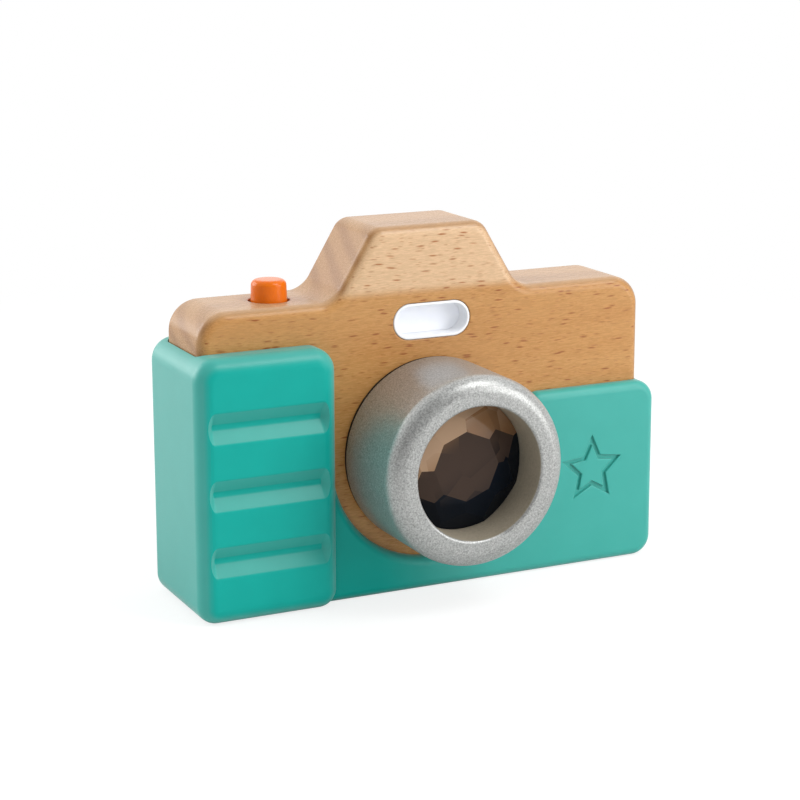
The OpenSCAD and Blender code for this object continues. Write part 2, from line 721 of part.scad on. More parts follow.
// Coil spring between the tray's shelf and the button's flange
spring_sides = 6;
spring_rings = 8;
module button_spring() {
    wire_r = spring_wire_d / 2;
    coil_r = spring_d / 2 - wire_r;
    rise = spring_l - spring_wire_d;
    last = spring_turns * spring_rings;
    lean = atan2(rise, spring_turns * 360 * coil_r * PI / 180);
    points = [for (i = [0 : last]) for (k = [0 : spring_sides - 1])
        let (a = 360 * i / spring_rings)
        let (b = 360 * k / spring_sides)
        let (out = coil_r + wire_r * cos(b))
        let (along = -wire_r * sin(b) * sin(lean))
        [out * cos(a) - along * sin(a), out * sin(a) + along * cos(a),
            wire_r + rise * i / last + wire_r * sin(b) * cos(lean)]];
    sides = [for (i = [0 : last - 1]) for (k = [0 : spring_sides - 1])
        let (a = i * spring_sides + k)
        let (b = i * spring_sides + (k + 1) % spring_sides)
        each [[a, b + spring_sides, b], [a, a + spring_sides, b + spring_sides]]];
    first = [for (k = [0 : spring_sides - 1]) k];
    end = [for (k = [spring_sides - 1 : -1 : 0]) last * spring_sides + k];
    color("lightsteelblue") translate([button_x, 0, shelf_top])
        polyhedron(points, concat([first], sides, [end]));
}

// Black module: a tray in the wood's pocket and a back plate that closes it
module module_case() {
    color("darkslategray") difference() {
        union() {
            between_y(plate_y, back_y) round_rect(plate_x0, plate_x1, plate_z0, plate_z1, plate_corner_r);
            tray();
        }
        between_y(plate_y, back_y + past) battery_door_outline(door_fit);
        for (p = screw_places) screw_hole(p.x, p.y);
        speaker_grille();
    }
}
module tray() {
    bay_roof = bay_top + tray_wall;
    difference() {
        box([tray_in_x0 - tray_wall, tray_y, tray_z], [tray_in_x1 + tray_wall, plate_y, shelf_top]);
        box([tray_in_x0, tray_y - past, bay_roof], [tray_in_x1, plate_y, shelf_z]);
        box([tray_in_x0, tray_y - past, bay_z], [tray_in_x1, bay_floor_y - tray_wall, bay_roof + past]);
        box([tray_in_x0, bay_floor_y, bay_z], [divider_x, plate_y + past, bay_top]);
        box([divider_x + divider_t, bay_floor_y, bay_z], [tray_in_x1, plate_y + past, bay_top]);
        contact_slot(tray_in_x0);
        contact_slot(cell_x1);
        translate([button_x, 0, shelf_z - past])
            cylinder(h = tray_wall + 2 * past, d = stem_d + 2 * stem_fit);
        translate([led_wire_x, led_wire_y, shelf_z - past])
            cylinder(h = tray_wall + 2 * past, d = wire_pitch + 2 * wire_d);
    }
    for (x = [tray_in_x0, tray_in_x1 - ledge_w])
        box([x, battery_wire_y + 2 * wire_d, board_z - ledge_h], [x + ledge_w, board_y1, board_z]);
    difference() {
        hole_y(boss_x, cell_z, boss_d / 2, bay_floor_y, plate_y);
        hole_y(boss_x, cell_z, screw_d / 2 + screw_fit, plate_y - screw_l - screw_fit, plate_y + past);
    }
}
module contact_slot(x) {
    box([x, bay_floor_y - tray_wall - past, cell_z - contact_w / 2 - contact_t],
        [x + contact_t + screw_fit, bay_floor_y + past, cell_z + contact_w / 2 + contact_t]);
}
module battery_door_outline(grow) {
    translate([tray_in_x0 - door_ledge - grow, bay_z - door_ledge - grow])
        square([tray_in_w + 2 * (door_ledge + grow), bay_top - bay_z + 2 * (door_ledge + grow)]);
}
module screw_hole(x, z) {
    hole_y(x, z, screw_d / 2 + screw_fit, plate_y - past, back_y);
    hole_y(x, z, screw_head_d / 2 + screw_fit, back_y - screw_head_h, back_y + past);
}
module speaker_grille() {
    hole_y(module_x, speaker_z, grille_hole_d / 2, plate_y - past, back_y + past);
    for (ring = [1, 2]) for (k = [0 : 6 * ring - 1])
        hole_y(module_x + ring * grille_pitch * cos(60 * k / ring),
            speaker_z + ring * grille_pitch * sin(60 * k / ring),
            grille_hole_d / 2, plate_y - past, back_y + past);
}

// Cross-head screw with its head flush in a plate
module screw(x, z) {
    head_y = back_y - screw_head_h;
    difference() {
        union() {
            hole_y(x, z, screw_head_d / 2, head_y, back_y);
            hole_y(x, z, screw_d / 2, plate_y - screw_l, head_y);
        }
        for (turn = [0, 90]) translate([x, back_y, z]) rotate([0, turn, 0])
            cube([screw_slot, screw_head_h, screw_slot_l], center = true);
    }
}
module case_screw(i) {
    color("silver") screw(screw_places[i].x, screw_places[i].y);
}

// Battery door with its captive screw and a finger notch
module battery_door() {
    color("black") difference() {
        between_y(plate_y, back_y) battery_door_outline(0);
        screw_hole(boss_x, cell_z);
        translate([(cell_x0 + cell_x1) / 2, back_y, cell_z])
            cube([door_notch_w, 2 * door_notch_d, door_notch_w / 2], center = true);
    }
}
module battery_door_screw() {
    color("silver") screw(boss_x, cell_z);
}

// Three button cells side by side on one axis
module battery_cell(i) {
    color("gainsboro") translate([cell_x0 + i * cell_t, cell_y, cell_z]) rotate([0, 90, 0])
        cylinder(h = cell_t, d = cell_d);
}

// Contact plates at the two ends of the cells, with tails through the bay's floor
module contact_plate(x) {
    box([x, tail_y, cell_z - contact_w / 2], [x + contact_t, cell_y + contact_w / 2, cell_z + contact_w / 2]);
}
module battery_contact_flat() {
    color("gold") contact_plate(cell_x1);
}
module battery_contact_spring() {
    color("gold") {
        contact_plate(tray_in_x0);
        translate([tray_in_x0, cell_y, cell_z]) rotate([0, 90, 0])
            cylinder(h = contact_spring_l, d1 = contact_dimple_d + contact_spring_l, d2 = contact_dimple_d);
    }
}

// Wires from the contacts' tails up to the board
battery_wire_places = [tray_in_x0 + wire_d / 2, cell_x1 + contact_t / 2];
module battery_wire(i) {
    x = battery_wire_places[i];
    color(i == 0 ? "red" : "black")
        wire([[x, battery_wire_y, cell_z + contact_w / 2], [x, battery_wire_y, board_z]]);
}

// Circuit board on the tray's ledges, with the chip and the switch on it
module circuit_board() {
    color("seagreen") box([tray_in_x0 + board_fit, board_y0, board_z],
        [tray_in_x1 - board_fit, board_y1, board_top]);
}
module sound_chip() {
    x = (tray_in_x0 + button_x - switch_w / 2) / 2;
    y = (board_y0 + board_y1) / 2;
    color("black") translate([x - chip_w / 2, y - chip_w / 2, board_top]) cube([chip_w, chip_w, chip_h]);
}
module switch_body() {
    bore_z = switch_top - plunger_hold - button_travel - stem_gap;
    color("dimgray") difference() {
        translate([button_x - switch_w / 2, -switch_w / 2, board_top]) cube([switch_w, switch_w, switch_h]);
        translate([button_x, 0, bore_z])
            cylinder(h = switch_top - bore_z + past, d = plunger_d + 2 * plunger_fit);
    }
}
module switch_plunger() {
    foot_z = switch_top - plunger_hold;
    color("white") translate([button_x, 0, foot_z]) cylinder(h = plunger_top - foot_z, d = plunger_d);
}

// Speaker behind the plate's grille
module on_speaker_axis() {
    translate([module_x, plate_y, speaker_z]) rotate([90, 0, 0]) children();
}
module speaker_frame() {
    color("gray") on_speaker_axis() difference() {
        cylinder(h = speaker_frame_t, r = speaker_r);
        translate([0, 0, -past])
            cylinder(h = speaker_frame_t - speaker_back_t + past, r = speaker_r - speaker_rim);
    }
}
module speaker_cone() {
    r = speaker_r - speaker_rim;
    cap_r = cone_cap_d / 2;
    depth = speaker_frame_t - speaker_back_t;
    color("black") on_speaker_axis() rotate_extrude() polygon([[0, depth], [0, depth - cone_t],
        [cap_r, depth - cone_t], [r, cone_t], [r, 2 * cone_t], [cap_r, depth]]);
}
module speaker_magnet() {
    color("silver") on_speaker_axis() translate([0, 0, speaker_frame_t]) cylinder(h = magnet_t, d = magnet_d);
}
module speaker_wire(i) {
    x = module_x - magnet_d / 2 - wire_d - i * wire_pitch;
    z = board_z - speaker_wire_drop;
    color(i == 0 ? "red" : "black")
        wire([[x, speaker_wire_y, board_z], [x, speaker_wire_y, z], [x, speaker_back_y, z]]);
}

// White cup in the flash slot, its diffuser, the lamp behind and the lamp's wires
module flash_reflector() {
    w = flash_w - 2 * flash_fit;
    h = flash_slot_h - 2 * flash_fit;
    color("white") translate([flash_x, 0, flash_z]) difference() {
        between_y(front_y, front_y + cup_depth) obround(w, h);
        between_y(front_y - past, front_y + cup_depth - flash_wall)
            obround(w - 2 * flash_wall, h - 2 * flash_wall);
        hole_y(0, 0, led_d / 2 + led_fit, front_y, front_y + cup_depth + past);
    }
}
module flash_diffuser() {
    shrink = 2 * (2 * flash_fit + flash_wall);
    color("aliceblue") translate([flash_x, 0, flash_z]) between_y(front_y + flash_recess, diffuser_back_y)
        obround(flash_w - shrink, flash_slot_h - shrink);
}
module flash_led() {
    color("ivory") {
        hole_y(flash_x, flash_z, led_d / 2, led_tip_y, led_back_y);
        hole_y(flash_x, flash_z, led_collar_d / 2, led_back_y - led_collar_t, led_back_y);
    }
}
module led_wire(i) {
    y = led_wire_y + (i - 0.5) * wire_pitch;
    z = flash_z + (i - 0.5) * wire_pitch;
    color(i == 0 ? "red" : "black") wire([[led_wire_x, y, board_top], [led_wire_x, y, led_wire_z],
        [flash_x, y, z], [flash_x, led_back_y, z]]);
}

wood_body();
grip_sleeve();
lens_bush();
lens_washer();
lens_barrel();
lens_tube();
kaleidoscope_lens();
eyepiece_ring();
shutter_button();
button_spring();
module_case();
case_screw(0);  // case_screw_1
case_screw(1);  // case_screw_2
case_screw(2);  // case_screw_3
case_screw(3);  // case_screw_4
battery_door();
battery_door_screw();
battery_cell(0);  // battery_cell_1
battery_cell(1);  // battery_cell_2
battery_cell(2);  // battery_cell_3
battery_contact_flat();
battery_contact_spring();
battery_wire(0);  // battery_wire_1
battery_wire(1);  // battery_wire_2
circuit_board();
sound_chip();
switch_body();
switch_plunger();
speaker_frame();
speaker_cone();
speaker_magnet();
speaker_wire(0);  // speaker_wire_1
speaker_wire(1);  // speaker_wire_2
flash_reflector();
flash_diffuser();
flash_led();
led_wire(0);  // led_wire_1
led_wire(1);  // led_wire_2
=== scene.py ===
import math

import bmesh
import bpy
from mathutils import Matrix, Vector


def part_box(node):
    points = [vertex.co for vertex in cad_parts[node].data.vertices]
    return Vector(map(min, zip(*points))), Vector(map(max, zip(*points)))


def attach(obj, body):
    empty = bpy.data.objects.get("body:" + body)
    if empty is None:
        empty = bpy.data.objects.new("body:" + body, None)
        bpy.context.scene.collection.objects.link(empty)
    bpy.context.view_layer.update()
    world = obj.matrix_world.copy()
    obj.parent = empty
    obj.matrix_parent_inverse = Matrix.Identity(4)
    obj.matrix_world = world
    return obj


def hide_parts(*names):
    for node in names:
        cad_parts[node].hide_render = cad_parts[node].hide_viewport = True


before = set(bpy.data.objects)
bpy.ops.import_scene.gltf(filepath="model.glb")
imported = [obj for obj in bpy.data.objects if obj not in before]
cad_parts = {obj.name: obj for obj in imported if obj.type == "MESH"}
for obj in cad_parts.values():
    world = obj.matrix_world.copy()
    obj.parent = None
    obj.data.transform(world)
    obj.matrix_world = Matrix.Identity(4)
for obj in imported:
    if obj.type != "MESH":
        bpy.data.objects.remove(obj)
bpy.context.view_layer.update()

# Camera
# The toy is seen from its front left and a little above, through a long lens whose frame is
# shifted a little.
mm = 0.001
azimuth = math.radians(-26.17)
elevation = math.radians(12.14)
aim = Vector((0.1, -5.1, 64.2)) * mm
distance = 564.8 * mm
away = Vector((math.sin(azimuth) * math.cos(elevation), -math.cos(azimuth) * math.cos(elevation),
               math.sin(elevation)))
long_lens = bpy.data.cameras.new("camera")
long_lens.lens = 95.4
long_lens.shift_x = -0.0229
long_lens.shift_y = -0.0679
long_lens.clip_start = 10 * mm
camera = bpy.data.objects.new("camera", long_lens)
camera.location = aim + away * distance
camera.rotation_euler = (-away).to_track_quat("-Z", "Y").to_euler()
bpy.context.scene.collection.objects.link(camera)
bpy.context.scene.camera = camera
bpy.context.scene.view_settings.view_transform = "Standard"


# Studio
# A white paper sweep under the toy, in a room that is white behind it and darker towards the
# camera, with soft lamps at the front right, at the back left and high in front.
def linear(colour):
    """An sRGB hex colour as linear red, green, blue and alpha."""
    parts = [int(colour[i:i + 2], 16) / 255 for i in (1, 3, 5)]
    return [c / 12.92 if c <= 0.04045 else ((c + 0.055) / 1.055) ** 2.4 for c in parts] + [1.0]


def add(tree, kind, inputs, **settings):
    """Adds a shader node with its settings, its fixed values and its links."""
    node = tree.nodes.new("ShaderNode" + kind)
    for name, value in settings.items():
        setattr(node, name, value)
    for name, value in inputs.items():
        if isinstance(value, bpy.types.NodeSocket):
            tree.links.new(value, node.inputs[name])
        else:
            node.inputs[name].default_value = value
    return node


paper = bpy.data.materials.new("white_paper")
paper.use_nodes = True
tree = paper.node_tree
tree.nodes.clear()
path = add(tree, "LightPath", {})
place = add(tree, "TexCoord", {}).outputs["Object"]
reach = add(tree, "VectorMath", {0: place}, operation="LENGTH")
far = add(tree, "MapRange", {"Value": reach.outputs["Value"], "From Min": 0.16, "From Max": 0.45},
          interpolation_type="SMOOTHSTEP")
bounce = add(tree, "BsdfDiffuse", {"Color": linear("#E0E0E0")})
shaded = add(tree, "BsdfDiffuse", {"Color": linear("#909090")})
glow = add(tree, "Emission", {"Strength": 0.78})
near = add(tree, "AddShader", {0: shaded.outputs[0], 1: glow.outputs[0]})
clear = add(tree, "Emission", {"Strength": 1.0})
shown = add(tree, "MixShader", {0: far.outputs[0], 1: near.outputs[0], 2: clear.outputs[0]})
mix = add(tree, "MixShader", {0: path.outputs["Is Camera Ray"], 1: bounce.outputs[0], 2: shown.outputs[0]})
add(tree, "OutputMaterial", {"Surface": mix.outputs[0]})

bm = bmesh.new()
bmesh.ops.create_grid(bm, x_segments=8, y_segments=8, size=3.0)
bmesh.ops.translate(bm, verts=bm.verts, vec=(0, 0, -0.05 * mm))
sweep = bpy.data.objects.new("paper_sweep", bpy.data.meshes.new("paper_sweep"))
bm.to_mesh(sweep.data)
bm.free()
sweep.data.materials.append(paper)
bpy.context.scene.collection.objects.link(sweep)

room = bpy.data.worlds.new("white_room")
room.use_nodes = True
bpy.context.scene.world = room
tree = room.node_tree
tree.nodes.clear()
path = add(tree, "LightPath", {})
way = add(tree, "SeparateXYZ", {"Vector": add(tree, "TexCoord", {}).outputs["Generated"]})
behind = add(tree, "MapRange", {"Value": way.outputs["Y"], "From Min": -0.6, "From Max": 0.5, "To Min": 0.12,
                                "To Max": 1.35})
ambient = add(tree, "Background", {"Color": linear("#FFFFFF"), "Strength": 0.68})
walls = add(tree, "Background", {"Color": linear("#FFFFFF"), "Strength": behind.outputs[0]})
white = add(tree, "Background", {"Color": linear("#FFFFFF"), "Strength": 1.0})
mirrored = add(tree, "MixShader", {0: path.outputs["Is Glossy Ray"], 1: ambient.outputs[0],
                                   2: walls.outputs[0]})
mix = add(tree, "MixShader", {0: path.outputs["Is Camera Ray"], 1: mirrored.outputs[0], 2: white.outputs[0]})
add(tree, "OutputWorld", {"Surface": mix.outputs[0]})

soft_lamps = [
    ("lamp_front_right", (0.46, -0.46, 0.22), 0.34, 0.40, 1.75),
    ("lamp_back_left", (-0.48, 0.48, 0.30), 0.45, 0.45, 2.8),
    ("lamp_high_front", (0.32, -0.36, 0.66), 0.34, 0.34, 2.25),
]
for name, stand, width, height, watts in soft_lamps:
    lamp = bpy.data.lights.new(name, "AREA")
    lamp.shape = "RECTANGLE"
    lamp.size = width
    lamp.size_y = height
    lamp.energy = watts
    holder = bpy.data.objects.new(name, lamp)
    holder.location = stand
    holder.rotation_euler = (aim - Vector(stand)).to_track_quat("-Z", "Y").to_euler()
    bpy.context.scene.collection.objects.link(holder)


# Wooden body
# One solid beech block, sawn to an outline with a finder hump, rounded over on every edge with a
# router, bored for the lens and the button and milled for the flash and the sound module.
ARC_STEPS = 12
SHARP = math.radians(40)
WELD = 0.001 * mm


def saw_outline(corners, depth):
    """A flat face at one depth, with its corners, given as x, z and radius, rounded."""
    bm = bmesh.new()
    places = [Vector((x, depth, z)) for x, z, radius in corners]
    verts = [bm.verts.new(place) for place in places]
    bm.faces.new(verts)
    for i, (x, z, radius) in enumerate(corners):
        if radius == 0:
            continue
        into = places[i] - places[i - 1]
        out = places[(i + 1) % len(places)] - places[i]
        bmesh.ops.bevel(bm, geom=[verts[i]], offset=radius * math.tan(into.angle(out) / 2),
                        offset_type="OFFSET", affect="VERTICES", segments=ARC_STEPS, profile=0.5,
                        material=-1)
    bmesh.ops.remove_doubles(bm, verts=bm.verts, dist=WELD)
    return bm


def draw_out(bm, depth):
    """Draws a flat face out to another depth, which makes a closed slab."""
    made = bmesh.ops.extrude_face_region(bm, geom=bm.faces[:])
    for vert in made["geom"]:
        if isinstance(vert, bmesh.types.BMVert):
            vert.co.y = depth
    bmesh.ops.recalc_face_normals(bm, faces=bm.faces)
    return bm


def edges_on(bm, axis, level):
    """The sharp edges that lie in one plane across an axis."""
    return [edge for edge in bm.edges
            if all(abs(vert.co[axis] - level) < 2 * WELD for vert in edge.verts)
            and edge.calc_face_angle(0) > SHARP]


def round_over(bm, edges, radius, segments):
    """Rounds edges over to a radius."""
    bmesh.ops.bevel(bm, geom=edges, offset=radius, offset_type="OFFSET", affect="EDGES",
                    segments=segments, profile=0.5, material=-1)


def drill(radius, start, end):
    """A round cutter between two points."""
    bm = bmesh.new()
    way = Vector(end) - Vector(start)
    tilt = way.to_track_quat("Z", "Y").to_matrix().to_4x4()
    middle = Matrix.Translation((Vector(start) + Vector(end)) / 2)
    bmesh.ops.create_cone(bm, cap_ends=True, segments=96, radius1=radius, radius2=radius,
                          depth=way.length, matrix=middle @ tilt)
    return bm


def carve(bm, other, operation="DIFFERENCE"):
    """Cuts a shape away from another, or joins the two, and gives the new shape."""
    pair = []
    for shape in (bm, other):
        mesh = bpy.data.meshes.new("carving")
        shape.to_mesh(mesh)
        shape.free()
        pair.append(bpy.data.objects.new("carving", mesh))
        bpy.context.scene.collection.objects.link(pair[-1])
    modifier = pair[0].modifiers.new("carving", "BOOLEAN")
    modifier.operation = operation
    modifier.solver = "EXACT"
    modifier.object = pair[1]
    result = bmesh.new()
    result.from_object(pair[0], bpy.context.evaluated_depsgraph_get())
    for leftover in pair:
        bpy.data.meshes.remove(leftover.data)
    bmesh.ops.remove_doubles(result, verts=result.verts, dist=WELD)
    return result


def assemble(name, bm, finish, body, slot, *nodes):
    """Makes a piece of a shape, in its finish, on its body and in the place of its CAD nodes."""
    bmesh.ops.recalc_face_normals(bm, faces=bm.faces)
    mesh = bpy.data.meshes.new(name)
    bm.to_mesh(mesh)
    bm.free()
    mesh.shade_smooth()
    mesh.set_sharp_from_angle(angle=math.radians(32))
    mesh.materials.append(finish)
    piece = bpy.data.objects.new(name, mesh)
    bpy.context.scene.collection.objects.link(piece)
    shading = piece.modifiers.new("even_shading", "WEIGHTED_NORMAL")
    shading.keep_sharp = True
    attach(piece, body)
    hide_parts(*nodes)
    return piece


def new_finish(name):
    """A new material, with its tree and its surface shader."""
    material = bpy.data.materials.new(name)
    material.use_nodes = True
    return material, material.node_tree, material.node_tree.nodes["Principled BSDF"]


# Varnished beech: warm tan with many short ray flecks along the grain on the front and the back,
# duller ends and tops with broad growth rings, and a satin varnish over fine fibres. Faces that point
# up are painted paler, a painted highlight, and the hump's front and back are painted lighter, painted light.
beech, tree, surface = new_finish("varnished_beech")
wood_low, wood_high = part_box("wood_body")
shoulder_z = wood_high.z - 18.5 * mm
place = add(tree, "TexCoord", {}).outputs["Object"]
facing = add(tree, "SeparateXYZ", {"Vector": add(tree, "NewGeometry", {}).outputs["Normal"]})
front = add(tree, "Math", {0: facing.outputs["Y"]}, operation="ABSOLUTE")
flat_sawn = add(tree, "MapRange", {"Value": front.outputs[0], "From Min": 0.55, "From Max": 0.95},
                interpolation_type="SMOOTHSTEP")
ring_gap = 6 * mm
gap_at_scale_1 = 0.314
pith = Vector((0, 70, -95)) * mm
along = add(tree, "Mapping", {"Vector": place, "Location": -pith, "Scale": (0.12, 1, 1)})
rings = add(tree, "TexWave", {"Vector": along.outputs[0], "Scale": gap_at_scale_1 / ring_gap,
                              "Distortion": 1.5, "Detail": 2, "Detail Scale": 1.0, "Detail Roughness": 0.5},
            wave_type="RINGS", rings_direction="X", wave_profile="SIN")
streaks_at = add(tree, "Mapping", {"Vector": place, "Scale": (1 / (50 * mm), 1 / (5 * mm), 1 / (5 * mm))})
streaks = add(tree, "TexNoise", {"Vector": streaks_at.outputs[0], "Scale": 1.0, "Detail": 4,
                                 "Roughness": 0.55})
fibres_at = add(tree, "Mapping", {"Vector": place,
                                  "Scale": (1 / (2.2 * mm), 1 / (0.30 * mm), 1 / (0.30 * mm))})
fibres = add(tree, "TexNoise", {"Vector": fibres_at.outputs[0], "Scale": 1.0, "Detail": 3, "Roughness": 0.65})
wander_at = add(tree, "TexNoise", {"Vector": place, "Scale": 1 / (14 * mm), "Detail": 1})
wander = add(tree, "MixRGB", {"Fac": 2.2 * mm, "Color1": place, "Color2": wander_at.outputs["Color"]},
             blend_type="ADD")


def ray_flecks(length, gap, share, size):
    """Flecks along the grain: their cells' length and height, how many show and how much each fills."""
    at = add(tree, "Mapping", {"Vector": wander.outputs[0], "Rotation": (0, math.radians(-3), 0),
                               "Scale": (1 / length, 1 / gap, 1 / gap)})
    cells = add(tree, "TexVoronoi", {"Vector": at.outputs[0], "Scale": 1.0, "Randomness": 1.0})
    shape = add(tree, "MapRange", {"Value": cells.outputs["Distance"], "From Min": size,
                                   "From Max": size * 0.45})
    chance = add(tree, "SeparateColor", {"Color": cells.outputs["Color"]})
    shown = add(tree, "MapRange", {"Value": chance.outputs[0], "From Min": 1 - share,
                                   "From Max": 1.2 - share})
    return add(tree, "Math", {0: shape.outputs[0], 1: shown.outputs[0]}, operation="MULTIPLY").outputs[0]


bold = ray_flecks(5.8 * mm, 1.0 * mm, 0.75, 0.29)
fine = ray_flecks(3.2 * mm, 0.55 * mm, 0.60, 0.31)
faint = add(tree, "Math", {0: fine, 1: 0.5}, operation="MULTIPLY")
flecks = add(tree, "Math", {0: bold, 1: faint.outputs[0]}, operation="MAXIMUM")
seen_flecks = add(tree, "Math", {0: flecks.outputs[0], 1: flat_sawn.outputs[0]}, operation="MULTIPLY")
tone = add(tree, "MixRGB", {"Fac": streaks.outputs[0], "Color1": linear("#B67D40"),
                            "Color2": linear("#C69458")})
height = add(tree, "SeparateXYZ", {"Vector": place})
# Painted light: the hump's front and back, above the shoulders, are painted lighter and paler than the rest
# of the block.
hump = add(tree, "MapRange", {"Value": height.outputs["Z"], "From Min": shoulder_z,
                              "From Max": shoulder_z + 3 * mm, "To Max": 0.85},
           interpolation_type="SMOOTHSTEP")
front_tone = add(tree, "MixRGB", {"Fac": hump.outputs[0], "Color1": tone.outputs[0],
                                  "Color2": linear("#DAB892")})
ring_tone = add(tree, "MapRange", {"Value": rings.outputs["Fac"], "From Min": 0.25, "From Max": 1.0})
end_tone = add(tree, "MixRGB", {"Fac": ring_tone.outputs[0], "Color1": linear("#B08352"),
                                "Color2": linear("#9E7040")})
# Painted highlight: faces that point up are painted paler, as if lit from above.
painted_top_light = add(tree, "MapRange", {"Value": facing.outputs["Z"], "From Min": 0.5, "From Max": 0.95,
                                "To Max": 0.28}, interpolation_type="SMOOTHSTEP")
top_tone_with_painted_light = add(tree, "MixRGB", {"Fac": painted_top_light.outputs[0], "Color1": end_tone.outputs[0],
                                "Color2": linear("#DDBD9C")})
faced = add(tree, "MixRGB", {"Fac": flat_sawn.outputs[0], "Color1": top_tone_with_painted_light.outputs[0],
                             "Color2": front_tone.outputs[0]})
fibre_tone = add(tree, "MapRange", {"Value": fibres.outputs[0], "From Min": 0.3, "From Max": 0.7,
                                    "To Min": 0.88, "To Max": 1.08})
grained = add(tree, "MixRGB", {"Fac": 1.0, "Color1": faced.outputs[0], "Color2": fibre_tone.outputs[0]},
              blend_type="MULTIPLY")
flecked = add(tree, "MixRGB", {"Fac": seen_flecks.outputs[0], "Color1": grained.outputs[0],
                               "Color2": linear("#C89D78")}, blend_type="MULTIPLY")
tree.links.new(flecked.outputs[0], surface.inputs["Base Color"])
surface.inputs["Roughness"].default_value = 0.6
surface.inputs["IOR"].default_value = 1.3
surface.inputs["Coat Weight"].default_value = 0.55
dry = add(tree, "MapRange", {"Value": fibres.outputs[0], "To Min": 0.20, "To Max": 0.34})
tree.links.new(dry.outputs[0], surface.inputs["Coat Roughness"])
relief = add(tree, "Math", {0: fibres.outputs[0], 1: seen_flecks.outputs[0]}, operation="SUBTRACT")
bump = add(tree, "Bump", {"Height": relief.outputs[0], "Strength": 0.10, "Distance": 0.1 * mm})
tree.links.new(bump.outputs[0], surface.inputs["Normal"])

bush_low, bush_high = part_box("lens_bush")
cup_low, cup_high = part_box("flash_reflector")
cap_low, cap_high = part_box("shutter_button")
led_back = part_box("flash_led")[1].y
case_low, case_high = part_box("module_case")
hump_foot_x = 27 * mm
hump_top_x = 16 * mm
lens_axis = (bush_low + bush_high) / 2
flash_axis = (cup_low + cup_high) / 2
button_axis = (cap_low + cap_high) / 2

wood_soft = 3 * mm
wood_foot = 4 * mm
shoulder_round = 8 * mm
hump_foot_round = 7 * mm
hump_top_round = 4.5 * mm
half = [(wood_high.x, wood_low.z, wood_foot), (wood_high.x, shoulder_z, shoulder_round),
        (hump_foot_x, shoulder_z, hump_foot_round), (hump_top_x, wood_high.z, hump_top_round)]
other_half = [(-x, z, radius) for x, z, radius in reversed(half)]
block = draw_out(saw_outline(half + other_half, wood_low.y), wood_high.y)
round_over(block, edges_on(block, 1, wood_low.y) + edges_on(block, 1, wood_high.y), wood_soft, 8)

past = 1 * mm
bore_fit = 0.05 * mm
bore_radius = (bush_high.x - bush_low.x) / 2 + bore_fit
block = carve(block, drill(bore_radius, (0, wood_low.y - past, lens_axis.z),
                           (0, wood_high.y + past, lens_axis.z)))


def flash_outline(grow, depth):
    """The outline of the flash's cup, a long slot with round ends, grown or shrunk and at one depth."""
    width = (cup_high.x - cup_low.x) / 2 + grow
    height = (cup_high.z - cup_low.z) / 2 + grow
    x, z = flash_axis.x, flash_axis.z
    corners = [(x + width, z - height, height), (x + width, z + height, height),
               (x - width, z + height, height), (x - width, z - height, height)]
    return saw_outline(corners, depth)


slot_fit = 0.1 * mm
block = carve(block, draw_out(flash_outline(slot_fit, wood_low.y - past), cup_high.y + slot_fit))
lamp_hole = 3.05 * mm
block = carve(block, drill(lamp_hole, (flash_axis.x, cup_high.y, flash_axis.z),
                           (flash_axis.x, led_back + 2 * past, flash_axis.z)))
button_hole = 5.4 * mm
ceiling = 68 * mm
block = carve(block, drill(button_hole, (button_axis.x, 0, ceiling - past),
                           (button_axis.x, 0, shoulder_z + past)))
plate_front = wood_high.y - 2 * mm
rebate_fit = 0.15 * mm
rebate_round = 2.55 * mm
rebate = [(case_low.x - rebate_fit, case_low.z - rebate_fit, rebate_round),
          (case_high.x + rebate_fit, case_low.z - rebate_fit, rebate_round),
          (case_high.x + rebate_fit, case_high.z + rebate_fit, rebate_round),
          (case_low.x - rebate_fit, case_high.z + rebate_fit, rebate_round)]
block = carve(block, draw_out(saw_outline(rebate, plate_front), wood_high.y + past))
margin_x = 3 * mm
margin_z = 4.8 * mm
pocket_fit = 0.2 * mm
pocket = [(case_low.x + margin_x, case_low.z + margin_z, 0),
          (case_high.x - margin_x, case_low.z + margin_z, 0),
          (case_high.x - margin_x, ceiling, 0), (case_low.x + margin_x, ceiling, 0)]
block = carve(block, draw_out(saw_outline(pocket, case_low.y - pocket_fit), plate_front + past))
sanded_edge = 0.35 * mm
for axis, level in ((1, wood_low.y), (1, wood_high.y), (2, shoulder_z)):
    round_over(block, edges_on(block, axis, level), sanded_edge, 3)
assemble("beech_body", block, beech, "camera_body", "beech", "wood_body")


# Grip sleeve
# One soft silicone moulding stretched over the block: a thick grip with three finger grooves, a low
# panel with a pressed-in star, a floor and a lip round the back. The grip's front keeps the deep teal,
# and the rest is painted a paler teal, a painted sheen and reflection of light.
silicone, tree, surface = new_finish("moulded_silicone")
place = add(tree, "TexCoord", {}).outputs["Object"]
cloudy = add(tree, "TexNoise", {"Vector": place, "Scale": 1 / (7 * mm), "Detail": 3})
base_tone = add(tree, "MixRGB", {"Fac": cloudy.outputs[0], "Color1": linear("#00A095"),
                             "Color2": linear("#02A99D")})
painted_sheen_teal = add(tree, "MixRGB", {"Fac": cloudy.outputs[0], "Color1": linear("#30A297"),
                             "Color2": linear("#38AA9F")})
across = add(tree, "SeparateXYZ", {"Vector": place})
facing = add(tree, "SeparateXYZ", {"Vector": add(tree, "NewGeometry", {}).outputs["Normal"]})
